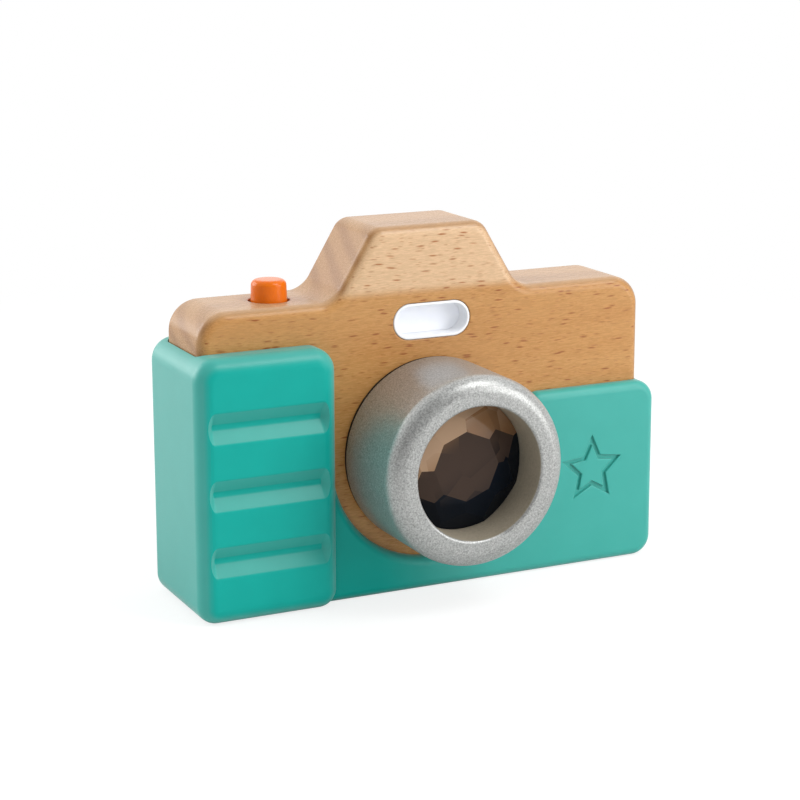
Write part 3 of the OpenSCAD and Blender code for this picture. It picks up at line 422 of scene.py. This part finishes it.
# Painted sheen: only front-facing faces on the grip side keep the deep teal. The panel to the right and every
# face turned away from the front, such as the sides, the rounded edges and the groove walls, are painted a
# paler teal, a painted reflection of the white room and the lamps.
grip_side = add(tree, "MapRange", {"Value": across.outputs["X"], "From Min": 8 * mm, "From Max": -18 * mm},
           interpolation_type="SMOOTHSTEP")
front = add(tree, "MapRange", {"Value": facing.outputs["Y"], "From Min": -0.75, "From Max": -0.98},
            interpolation_type="SMOOTHSTEP")
free_of_painted_sheen = add(tree, "Math", {0: grip_side.outputs[0], 1: front.outputs[0]}, operation="MULTIPLY")
teal_and_painted_sheen = add(tree, "MixRGB", {"Fac": free_of_painted_sheen.outputs[0], "Color1": painted_sheen_teal.outputs[0], "Color2": base_tone.outputs[0]})
tree.links.new(teal_and_painted_sheen.outputs[0], surface.inputs["Base Color"])
sheen = add(tree, "MapRange", {"Value": free_of_painted_sheen.outputs[0], "To Min": 0.3, "To Max": 0.1})
tree.links.new(sheen.outputs[0], surface.inputs["Sheen Weight"])
gloss = add(tree, "MapRange", {"Value": free_of_painted_sheen.outputs[0], "To Min": 0.5, "To Max": 0.2})
tree.links.new(gloss.outputs[0], surface.inputs["Specular IOR Level"])
haze = add(tree, "TexNoise", {"Vector": place, "Scale": 1 / (0.5 * mm), "Detail": 2})
dull = add(tree, "MapRange", {"Value": haze.outputs[0], "To Min": 0.36, "To Max": 0.46})
tree.links.new(dull.outputs[0], surface.inputs["Roughness"])
bump = add(tree, "Bump", {"Height": haze.outputs[0], "Strength": 0.06, "Distance": 0.1 * mm})
tree.links.new(bump.outputs[0], surface.inputs["Normal"])
surface.inputs["IOR"].default_value = 1.5
surface.inputs["Sheen Roughness"].default_value = 0.4

sleeve_low, sleeve_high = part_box("grip_sleeve")
barrel_low, barrel_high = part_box("lens_barrel")
finger_gap = 4.5 * mm
grip_edge = barrel_low.x - finger_gap
grip_middle = (sleeve_low.x + grip_edge) / 2
panel_wall = 3.5 * mm
panel_front = wood_low.y - panel_wall
panel_top = 50.2 * mm
grip_soft = 4.5 * mm
panel_soft = 2.5 * mm
# A little more than the grip's, so that no skin of the panel lies in a skin of the grip
back_soft = 4.6 * mm
upper_round = 6 * mm
lower_round = 5 * mm
panel_round = 5.5 * mm
tip_round = 4 * mm

grip = draw_out(saw_outline([
    (sleeve_low.x, sleeve_low.z, lower_round), (grip_edge, sleeve_low.z, lower_round),
    (grip_edge, sleeve_high.z, upper_round), (sleeve_low.x, sleeve_high.z, upper_round)],
    sleeve_low.y), sleeve_high.y)
round_over(grip, edges_on(grip, 1, sleeve_low.y) + edges_on(grip, 1, sleeve_high.y), grip_soft, 10)

panel = draw_out(saw_outline([
    (grip_middle, sleeve_low.z, 0), (sleeve_high.x, sleeve_low.z, panel_round),
    (sleeve_high.x, panel_top, panel_round), (grip_middle, panel_top, 0)], panel_front), sleeve_high.y)
cutout_gap = 4 * mm
cutout_radius = (barrel_high.x - barrel_low.x) / 2 + cutout_gap
tip_reach = cutout_radius + tip_round
tip_z = panel_top - tip_round
tip_x = math.sqrt(tip_reach ** 2 - (tip_z - lens_axis.z) ** 2)
tip_angle = math.atan2(tip_z - lens_axis.z, tip_x)
cutout = [(grip_middle - past, panel_top + past, 0), (grip_middle - past, lens_axis.z, 0)]
cutout_steps = 72
for k in range(cutout_steps + 1):
    angle = math.pi + (math.pi + tip_angle) * k / cutout_steps
    cutout.append((cutout_radius * math.cos(angle), lens_axis.z + cutout_radius * math.sin(angle), 0))
for k in range(1, ARC_STEPS + 1):
    angle = math.pi + tip_angle - (math.pi / 2 + tip_angle) * k / ARC_STEPS
    cutout.append((tip_x + tip_round * math.cos(angle), tip_z + tip_round * math.sin(angle), 0))
cutout.append((tip_x, panel_top + past, 0))
panel = carve(panel, draw_out(saw_outline(cutout, panel_front - past), wood_low.y))
round_over(panel, edges_on(panel, 1, panel_front), panel_soft, 8)
round_over(panel, edges_on(panel, 1, sleeve_high.y), back_soft, 10)
sleeve = carve(grip, panel, "UNION")

play = 0.1 * mm
hollow_low = wood_low - Vector((3 * play, 2 * play, 0))
hollow_high = wood_high + Vector((3 * play, play, 0))
hollow_top = wood_high.z + wood_foot
hollow = draw_out(saw_outline([
    (hollow_low.x, hollow_low.z, wood_foot), (hollow_high.x, hollow_low.z, wood_foot),
    (hollow_high.x, hollow_top, 0), (hollow_low.x, hollow_top, 0)], hollow_low.y), hollow_high.y)
hollow_edges = edges_on(hollow, 1, hollow_low.y) + edges_on(hollow, 1, hollow_high.y)
round_over(hollow, hollow_edges, wood_soft, 8)
sleeve = carve(sleeve, hollow)
lip_side = 7 * mm
lip_floor = 12 * mm
lip_round = 8 * mm
lip_edge = 0.7 * mm
opening = [(sleeve_low.x + lip_side, lip_floor, lip_round), (sleeve_high.x - lip_side, lip_floor, lip_round),
           (sleeve_high.x - lip_side, sleeve_high.z + past, 0),
           (sleeve_low.x + lip_side, sleeve_high.z + past, 0)]
sleeve = carve(sleeve, draw_out(saw_outline(opening, wood_high.y), sleeve_high.y + past))
lip_rim = [edge for edge in sleeve.edges
           if all(vert.co.y > wood_high.y + 2 * play for vert in edge.verts)
           and all(vert.co.z > lip_floor - play for vert in edge.verts)
           and edge.calc_face_angle(0) > SHARP]
round_over(sleeve, lip_rim, lip_edge, 4)


def groove_cutter(z):
    """A trough with sloping sides, round ends and soft lips, which presses a finger groove in."""
    mouth = 4.2 * mm
    depth = 2.6 * mm
    bottom = 1.6 * mm
    lip = 1.4 * mm
    end = 2.2 * mm
    ledge = 2.4 * mm
    clear = 0.1 * mm
    least_slope = math.radians(6)
    hub = depth - bottom
    lean = math.atan2(hub, mouth) + math.asin(bottom / math.hypot(hub, mouth))
    shares = [k / 8 for k in range(9)]
    profile = [(bottom * math.sin(lean * share), hub + bottom * math.cos(lean * share)) for share in shares]
    lip_out = mouth + lip * math.tan(lean / 2)
    slopes = [lean - (lean - least_slope) * share for share in shares]
    profile += [(lip_out - lip * math.sin(slope), lip - lip * math.cos(slope)) for slope in slopes]
    profile += [(lip_out + lip, -clear), (lip_out + lip, -past), (0, -past)]
    inset = ledge + end
    left = Vector((sleeve_low.x + inset, 0, z))
    right = Vector((grip_edge - inset, 0, z))
    bm = bmesh.new()
    verts = [bm.verts.new((left.x, sleeve_low.y + deep, z + out)) for out, deep in profile]
    edges = [bm.edges.new(pair) for pair in zip(verts, verts[1:])]
    bowl = bmesh.ops.spin(bm, geom=verts + edges, cent=left, axis=(0, 1, 0), angle=-math.pi, steps=32)
    for rim in (edges, [part for part in bowl["geom_last"] if isinstance(part, bmesh.types.BMEdge)]):
        made = bmesh.ops.extrude_edge_only(bm, edges=rim)["geom"]
        far = [part for part in made if isinstance(part, bmesh.types.BMVert)]
        bmesh.ops.translate(bm, verts=far, vec=right - left)
    last = far + [part for part in made if isinstance(part, bmesh.types.BMEdge)
                  and all(vert in far for vert in part.verts)]
    bmesh.ops.spin(bm, geom=last, cent=right, axis=(0, 1, 0), angle=-math.pi, steps=32)
    bmesh.ops.remove_doubles(bm, verts=bm.verts, dist=WELD)
    for vert in bm.verts:
        tip = left.x if vert.co.x < left.x else right.x if vert.co.x > right.x else vert.co.x
        vert.co.x = tip + (vert.co.x - tip) * end / mouth
    bmesh.ops.recalc_face_normals(bm, faces=bm.faces)
    return bm


lowest_groove = 16.9 * mm
groove_pitch = 17.4 * mm
for i in range(3):
    sleeve = carve(sleeve, groove_cutter(lowest_groove + i * groove_pitch))

star_out = 9.5 * mm
star_in = 4.6 * mm
star_line = 1.3 * mm
star_depth = 0.8 * mm
star_edge = 0.3 * mm
star_inset = 20 * mm
star_height = 27 * mm
star_at = Vector((sleeve_high.x - star_inset, panel_front - past, star_height))
bm = bmesh.new()
loops = []
for scale in (1, 1 - star_line / star_in):
    ring = []
    for k in range(10):
        reach = scale * (star_in if k % 2 else star_out)
        turned = k * math.pi / 5
        ring.append(bm.verts.new(star_at + reach * Vector((math.sin(turned), 0, math.cos(turned)))))
    loops += [bm.edges.new((ring[k - 1], ring[k])) for k in range(10)]
bmesh.ops.bridge_loops(bm, edges=loops)
sleeve = carve(sleeve, draw_out(bm, panel_front + star_depth))
star_edges = [edge for edge in edges_on(sleeve, 1, panel_front)
              if all((vert.co - star_at).length < star_out + past for vert in edge.verts)]
round_over(sleeve, star_edges, star_edge, 3)
assemble("silicone_sleeve", sleeve, silicone, "camera_body", "silicone", "grip_sleeve")


# Lens barrel, tube and eyepiece
# A short barrel turned from beech and sprayed silver. It is glued on a wooden tube that turns in
# a black bush in the block, and a turned ring behind keeps the tube in.
silver, tree, surface = new_finish("silver_paint")
place = add(tree, "TexCoord", {}).outputs["Object"]
grit = add(tree, "TexNoise", {"Vector": place, "Scale": 1 / (0.42 * mm), "Detail": 3, "Roughness": 0.7})
flake = add(tree, "MapRange", {"Value": grit.outputs[0], "From Min": 0.34, "From Max": 0.66})
shade = add(tree, "MixRGB", {"Fac": flake.outputs[0], "Color1": linear("#8E8F8D"),
                             "Color2": linear("#C9CAC8")})
tree.links.new(shade.outputs[0], surface.inputs["Base Color"])
glint = add(tree, "MapRange", {"Value": grit.outputs[0], "To Min": 0.28, "To Max": 0.48})
tree.links.new(glint.outputs[0], surface.inputs["Roughness"])
bump = add(tree, "Bump", {"Height": grit.outputs[0], "Strength": 0.35, "Distance": 0.08 * mm})
tree.links.new(bump.outputs[0], surface.inputs["Normal"])
surface.inputs["Metallic"].default_value = 0.6


def turn(corners, steps=128):
    """Turns a profile, given as radius, height and rounding, about an upright axis at the origin."""
    bm = saw_outline(corners, 0)
    bmesh.ops.delete(bm, geom=bm.faces[:], context="FACES_ONLY")
    on_axis = [edge for edge in bm.edges if all(abs(vert.co.x) < WELD for vert in edge.verts)]
    bmesh.ops.delete(bm, geom=on_axis, context="EDGES")
    bmesh.ops.spin(bm, geom=bm.verts[:] + bm.edges[:], axis=(0, 0, 1), cent=(0, 0, 0), angle=2 * math.pi,
                   steps=steps, use_merge=True)
    bmesh.ops.remove_doubles(bm, verts=bm.verts, dist=WELD)
    bmesh.ops.recalc_face_normals(bm, faces=bm.faces)
    return bm


def lay_on_lens_axis(bm):
    """Lays a turned shape on the lens axis, with its height towards the front."""
    bmesh.ops.rotate(bm, verts=bm.verts, cent=(0, 0, 0), matrix=Matrix.Rotation(math.pi / 2, 3, "X"))
    bmesh.ops.translate(bm, verts=bm.verts, vec=(0, 0, lens_axis.z))
    return bm


def plain_finish(name, dark, light, grain, roughness, metallic):
    """A moulded, plated or lacquered finish with a fine grain of two shades."""
    material, tree, surface = new_finish(name)
    place = add(tree, "TexCoord", {}).outputs["Object"]
    fine = add(tree, "TexNoise", {"Vector": place, "Scale": 1 / grain, "Detail": 2})
    shade = add(tree, "MixRGB", {"Fac": fine.outputs[0], "Color1": linear(dark), "Color2": linear(light)})
    tree.links.new(shade.outputs[0], surface.inputs["Base Color"])
    surface.inputs["Roughness"].default_value = roughness
    surface.inputs["Metallic"].default_value = metallic
    return material


tube_low, tube_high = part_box("lens_tube")
ring_low, ring_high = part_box("eyepiece_ring")
glass_low, glass_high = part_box("kaleidoscope_lens")
barrel_radius = (barrel_high.x - barrel_low.x) / 2
glass_radius = (glass_high.x - glass_low.x) / 2
tube_radius = (tube_high.x - tube_low.x) / 2
ring_radius = (ring_high.x - ring_low.x) / 2
glass_fit = 0.1 * mm
hole_radius = glass_radius + glass_fit
tube_wall = 2.5 * mm
bore = tube_radius - tube_wall
glue = 0.05 * mm
seat = -glass_high.y
broken_edge = 0.8 * mm
front_round = 4.6 * mm
barrel = turn([
    (bore, -tube_low.y, 0), (tube_radius + glue, -tube_low.y, 0), (tube_radius + glue, -barrel_high.y, 0),
    (barrel_radius, -barrel_high.y, broken_edge), (barrel_radius, -barrel_low.y, front_round),
    (hole_radius, -barrel_low.y, broken_edge), (hole_radius, seat, 0), (bore, seat, 0)])
# Painted reflection: the hole's wall gets a tan-grey finish that stands in for the silver paint reflecting
# the wood and the dark tube.
for face in barrel.faces:
    face.material_index = int(face.calc_center_median().xy.length < hole_radius + glue)
inner_wall_painted_reflection = plain_finish("tan_painted_reflection", "#948B7A", "#BBB19E", 0.6 * mm, 0.5, 0.1)
painted = assemble("silver_barrel", lay_on_lens_axis(barrel), silver, "lens", "silver_paint", "lens_barrel")
painted.data.materials.append(inner_wall_painted_reflection)

ring_round = 0.9 * mm
ring_edge = 0.3 * mm
ring = turn([
    (tube_radius + glue, -ring_low.y, 0), (ring_radius, -ring_low.y, ring_round),
    (ring_radius, -ring_high.y, ring_round), (tube_radius + glue, -ring_high.y, ring_edge)])
assemble("silver_eyepiece", lay_on_lens_axis(ring), silver, "lens", "silver_paint", "eyepiece_ring")

dark_wood, tree, surface = new_finish("bare_turned_wood")
place = add(tree, "TexCoord", {}).outputs["Object"]
turned_at = add(tree, "Mapping", {"Vector": place, "Scale": (1 / (0.6 * mm), 1 / (6 * mm), 1 / (0.6 * mm))})
pores = add(tree, "TexNoise", {"Vector": turned_at.outputs[0], "Scale": 1.0, "Detail": 3})
brown = add(tree, "MixRGB", {"Fac": pores.outputs[0], "Color1": linear("#7A5330"),
                             "Color2": linear("#A87A4C")})
tree.links.new(brown.outputs[0], surface.inputs["Base Color"])
bump = add(tree, "Bump", {"Height": pores.outputs[0], "Strength": 0.2, "Distance": 0.1 * mm})
tree.links.new(bump.outputs[0], surface.inputs["Normal"])
surface.inputs["Roughness"].default_value = 0.7
tube_edge = 0.4 * mm
tube = turn([
    (bore, -tube_high.y, tube_edge), (tube_radius, -tube_high.y, tube_edge), (tube_radius, -tube_low.y, 0),
    (bore, -tube_low.y, 0)])
assemble("lens_tube_turned", lay_on_lens_axis(tube), dark_wood, "lens", "tube_wood", "lens_tube")


# Kaleidoscope lens
# An acrylic moulding with two rows of slanting facets round a flat middle facet, which rests
# on the barrel's web. Its colours are painted light and a painted view through it: each facet is
# painted lighter the more it leans towards a lit side, with a random tone of its own, the lens grows
# lighter towards that side, patches stand in for facets seen through it, and the rest is painted
# near-black navy and dark brown, the painted shade of the dark tube behind.
acrylic, tree, surface = new_finish("acrylic_with_painted_view")
facing = add(tree, "NewGeometry", {}).outputs["True Normal"]
place = add(tree, "TexCoord", {}).outputs["Object"]
# Painted light: facets leaning towards this lit side, and the part of the lens on that side, are painted
# lighter.
lit_side = Vector((-0.5, 0, 0.87))
leaning = add(tree, "VectorMath", {0: facing, 1: lit_side}, operation="DOT_PRODUCT")
inward = add(tree, "VectorMath", {0: place, 1: Vector((0, 0, lens_axis.z))}, operation="SUBTRACT")
across = add(tree, "VectorMath", {0: inward.outputs[0], 1: lit_side}, operation="DOT_PRODUCT")
own = add(tree, "TexNoise", {"Vector": facing, "Scale": 9.0, "Detail": 0})
spread = add(tree, "Math", {0: across.outputs["Value"], 1: 14.0, 2: leaning.outputs["Value"]},
             operation="MULTIPLY_ADD")
# Painted view: a patchy pattern stands in for facets seen through the lens.
back_facets = add(tree, "TexVoronoi", {"Vector": place, "Scale": 1 / (9 * mm)})
seen_through = add(tree, "SeparateColor", {"Color": back_facets.outputs["Color"]})
patchy = add(tree, "Math", {0: seen_through.outputs[0], 1: 0.14, 2: spread.outputs[0]},
             operation="MULTIPLY_ADD")
gathered = add(tree, "Math", {0: own.outputs[0], 1: 0.2, 2: patchy.outputs[0]}, operation="MULTIPLY_ADD")
painted_depth_shade = add(tree, "MapRange", {"Value": gathered.outputs[0], "From Min": -0.02, "From Max": 0.15},
            interpolation_type="SMOOTHSTEP")
amber = add(tree, "MapRange", {"Value": gathered.outputs[0], "From Min": 0.22, "From Max": 0.40},
            interpolation_type="SMOOTHSTEP")
pale = add(tree, "MapRange", {"Value": gathered.outputs[0], "From Min": 0.38, "From Max": 0.52},
           interpolation_type="SMOOTHSTEP")
# Painted shade: near-black navy and dark brown stand in for the dark tube seen through the lens.
browned = add(tree, "MixRGB", {"Fac": painted_depth_shade.outputs[0], "Color1": linear("#0D131B"),
                               "Color2": linear("#41342D")})
warmed = add(tree, "MixRGB", {"Fac": amber.outputs[0], "Color1": browned.outputs[0],
                              "Color2": linear("#8A6748")})
lightened = add(tree, "MixRGB", {"Fac": pale.outputs[0], "Color1": warmed.outputs[0],
                                 "Color2": linear("#B2957B")})
tree.links.new(lightened.outputs[0], surface.inputs["Base Color"])
surface.inputs["Roughness"].default_value = 0.08
surface.inputs["IOR"].default_value = 1.3
surface.inputs["Specular IOR Level"].default_value = 0.25

facets = 8
rim_front = seat + 5.9 * mm
crown = -glass_low.y
belt = rim_front + 2.2 * mm
belt_radius = glass_radius - 4 * mm
table_radius = belt_radius - 4.9 * mm
rim_steps = 96
bm = bmesh.new()
bmesh.ops.create_cone(bm, cap_ends=True, segments=rim_steps, radius1=glass_radius, radius2=glass_radius,
                      depth=crown - seat, matrix=Matrix.Translation((0, 0, (crown + seat) / 2)))
# Half a step of turn keeps the corners of the facets off the rim's own vertices
bmesh.ops.rotate(bm, verts=bm.verts, matrix=Matrix.Rotation(math.pi / rim_steps, 3, "Z"))
rows = ((belt_radius, belt, glass_radius, rim_front, 0), (table_radius, crown, belt_radius, belt, 0.5))
for inner_radius, inner_height, outer_radius, outer_height, twist in rows:
    slope = math.atan2(inner_height - outer_height, outer_radius - inner_radius)
    for k in range(facets):
        angle = (k + twist) * 2 * math.pi / facets
        out = Vector((math.cos(angle), math.sin(angle), 0))
        cut = bmesh.ops.bisect_plane(
            bm, geom=bm.verts[:] + bm.edges[:] + bm.faces[:], clear_outer=True,
            plane_co=out * inner_radius + Vector((0, 0, inner_height)),
            plane_no=out * math.sin(slope) + Vector((0, 0, math.cos(slope))))
        rim = [part for part in cut["geom_cut"] if isinstance(part, bmesh.types.BMEdge)]
        bmesh.ops.edgeloop_fill(bm, edges=rim)
ground = assemble("faceted_lens", lay_on_lens_axis(bm), acrylic, "lens", "acrylic", "kaleidoscope_lens")
ground.data.set_sharp_from_angle(angle=math.radians(4))


# Flash
# A white moulded cup pressed into the slot above the lens, with a milky diffuser set back in it
# and a small lamp behind.
white_plastic, tree, surface = new_finish("white_abs")
place = add(tree, "TexCoord", {}).outputs["Object"]
fine = add(tree, "TexNoise", {"Vector": place, "Scale": 1 / (0.6 * mm), "Detail": 2})
base_tone = add(tree, "MixRGB", {"Fac": fine.outputs[0], "Color1": linear("#EEF0F4"),
                             "Color2": linear("#F7F8FA")})
tree.links.new(base_tone.outputs[0], surface.inputs["Base Color"])
surface.inputs["Roughness"].default_value = 0.35
bump = add(tree, "Bump", {"Height": fine.outputs[0], "Strength": 0.04, "Distance": 0.1 * mm})
tree.links.new(bump.outputs[0], surface.inputs["Normal"])

cup_wall = 0.8 * mm
cup_edge = 0.25 * mm
lamp_collar = 2.65 * mm
cup = draw_out(flash_outline(0, cup_low.y), cup_high.y)
cup = carve(cup, draw_out(flash_outline(-cup_wall, cup_low.y - past), cup_high.y - cup_wall))
cup = carve(cup, drill(lamp_collar, (flash_axis.x, cup_high.y - 2 * cup_wall, flash_axis.z),
                       (flash_axis.x, cup_high.y + past, flash_axis.z)))
round_over(cup, edges_on(cup, 1, cup_low.y), cup_edge, 3)
assemble("flash_cup", cup, white_plastic, "camera_body", "white_plastic", "flash_reflector")

milky, tree, surface = new_finish("milky_diffuser")
place = add(tree, "TexCoord", {}).outputs["Object"]
fine = add(tree, "TexNoise", {"Vector": place, "Scale": 1 / (3 * mm), "Detail": 2})
pale = add(tree, "MixRGB", {"Fac": fine.outputs[0], "Color1": linear("#E4E8F2"), "Color2": linear("#EEF1F8")})
tree.links.new(pale.outputs[0], surface.inputs["Base Color"])
surface.inputs["Roughness"].default_value = 0.3
# Painted glow: the diffuser, and the small lamp that shares this finish, shine faintly as if the flash were
# lit, which also lifts the shade at the diffuser's edges.
surface.inputs["Emission Color"].default_value = linear("#FFFDF8")
surface.inputs["Emission Strength"].default_value = 0.12
diffuser_low, diffuser_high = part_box("flash_diffuser")
hair = 0.01 * mm
window_edge = 0.1 * mm
window = draw_out(flash_outline(-cup_wall - hair, diffuser_low.y), diffuser_high.y)
round_over(window, edges_on(window, 1, diffuser_low.y), window_edge, 2)
assemble("flash_window", window, milky, "camera_body", "diffuser_plastic", "flash_diffuser")


# Shutter button
# A moulded orange button that slides in a hole in the left shoulder. Its flange under the wood
# keeps it in, and its stem reaches down to the switch.
orange, tree, surface = new_finish("orange_plastic")
place = add(tree, "TexCoord", {}).outputs["Object"]
fine = add(tree, "TexNoise", {"Vector": place, "Scale": 1 / (1.2 * mm), "Detail": 3})
warm = add(tree, "MixRGB", {"Fac": fine.outputs[0], "Color1": linear("#DE690E"), "Color2": linear("#E87414")})
tree.links.new(warm.outputs[0], surface.inputs["Base Color"])
surface.inputs["Roughness"].default_value = 0.2
surface.inputs["IOR"].default_value = 1.32
bump = add(tree, "Bump", {"Height": fine.outputs[0], "Strength": 0.06, "Distance": 0.1 * mm})
tree.links.new(bump.outputs[0], surface.inputs["Normal"])
flange = (cap_high.x - cap_low.x) / 2
foot = 66.2 * mm
rim = 67.7 * mm
neck = 75.5 * mm
slide_fit = 0.1 * mm
guide = button_hole - slide_fit
stem = 2.2 * mm
cap_foot = 4.9 * mm
cap_top = 4.55 * mm
cap_round = 1.5 * mm
stem_edge = 0.3 * mm
flange_edge = 0.2 * mm
button = turn([
    (0, cap_low.z, 0), (stem, cap_low.z, stem_edge), (stem, foot, 0), (flange, foot, flange_edge),
    (flange, rim, flange_edge), (guide, rim, 0), (guide, neck, stem_edge), (cap_foot, neck, 0),
    (cap_top, cap_high.z, cap_round), (0, cap_high.z, 0)], 96)
bmesh.ops.translate(button, verts=button.verts, vec=(button_axis.x, 0, 0))
assemble("orange_button", button, orange, "shutter", "orange_plastic", "shutter_button")


# Sound module
# A black moulded case let into the back and held by four screws, with a speaker grille and a
# battery door that one more screw holds.
black, tree, surface = new_finish("black_abs")
place = add(tree, "TexCoord", {}).outputs["Object"]
spark = add(tree, "TexNoise", {"Vector": place, "Scale": 1 / (0.3 * mm), "Detail": 2})
soot = add(tree, "MixRGB", {"Fac": spark.outputs[0], "Color1": linear("#1B1B1C"),
                            "Color2": linear("#2A2A2B")})
tree.links.new(soot.outputs[0], surface.inputs["Base Color"])
surface.inputs["Roughness"].default_value = 0.5
bump = add(tree, "Bump", {"Height": spark.outputs[0], "Strength": 0.3, "Distance": 0.05 * mm})
tree.links.new(bump.outputs[0], surface.inputs["Normal"])

steel, tree, surface = new_finish("zinc_plated_steel")
place = add(tree, "TexCoord", {}).outputs["Object"]
brush = add(tree, "TexNoise", {"Vector": place, "Scale": 1 / (0.4 * mm), "Detail": 3})
zinc = add(tree, "MixRGB", {"Fac": brush.outputs[0], "Color1": linear("#A9AAAB"),
                            "Color2": linear("#CFD0D0")})
tree.links.new(zinc.outputs[0], surface.inputs["Base Color"])
surface.inputs["Metallic"].default_value = 1.0
surface.inputs["Roughness"].default_value = 0.3

countersink = 2 * mm
plate_edge = 0.3 * mm
head_edge = 0.12 * mm


def soften(node, edge, finish, body, slot, heads=()):
    """A copy of a CAD piece at the back, with its edges rounded but for the ones under screw heads."""
    bm = bmesh.new()
    bm.from_mesh(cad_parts[node].data)
    bmesh.ops.remove_doubles(bm, verts=bm.verts, dist=WELD)
    bmesh.ops.dissolve_limit(bm, angle_limit=math.radians(1), verts=bm.verts[:], edges=bm.edges[:])
    shown = [rim for rim in edges_on(bm, 1, wood_high.y)
             if all((rim.verts[0].co - head).xz.length > countersink for head in heads)]
    round_over(bm, shown, edge, 3)
    assemble(node + "_finished", bm, finish, body, slot, node)


screw_heads = [sum(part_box("case_screw_%d" % i), Vector()) / 2 for i in range(1, 5)]
soften("module_case", plate_edge, black, "camera_body", "black_plastic", screw_heads)
soften("battery_door", plate_edge, black, "door", "black_plastic")
soften("battery_door_screw", head_edge, steel, "door", "steel")
for i in range(1, 5):
    soften("case_screw_%d" % i, head_edge, steel, "camera_body", "steel")


# Inner pieces
# The bush and the washer of the lens, the switch, the spring, the board, the speaker, the cells
# and their wires keep their CAD shapes and get the finishes of such parts.
rubber = plain_finish("black_rubber", "#0C0C0D", "#161617", 0.5 * mm, 0.6, 0)
grey = plain_finish("grey_nylon", "#6A6B6D", "#7A7B7D", 0.5 * mm, 0.5, 0)
nickel = plain_finish("nickel_plate", "#BDBCB8", "#D6D5D0", 0.6 * mm, 0.25, 1)
brass = plain_finish("spring_brass", "#B08A3E", "#CDA552", 0.5 * mm, 0.3, 1)
green = plain_finish("solder_mask", "#0E5A2C", "#177038", 0.8 * mm, 0.3, 0)
red_vinyl = plain_finish("red_vinyl", "#A31515", "#BC1E1C", 0.6 * mm, 0.4, 0)
black_vinyl = plain_finish("black_vinyl", "#121213", "#1E1E1F", 0.6 * mm, 0.4, 0)
inner_finishes = {
    "lens_bush": black, "lens_washer": rubber, "button_spring": steel, "circuit_board": green,
    "sound_chip": black, "switch_body": grey, "switch_plunger": white_plastic, "speaker_frame": grey,
    "speaker_cone": black, "speaker_magnet": steel, "flash_led": milky, "battery_contact_flat": brass,
    "battery_contact_spring": brass, "battery_cell_1": nickel, "battery_cell_2": nickel,
    "battery_cell_3": nickel, "battery_wire_1": red_vinyl, "battery_wire_2": black_vinyl,
    "speaker_wire_1": red_vinyl, "speaker_wire_2": black_vinyl, "led_wire_1": red_vinyl,
    "led_wire_2": black_vinyl,
}
for node, finish in inner_finishes.items():
    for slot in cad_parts[node].material_slots:
        slot.material = finish
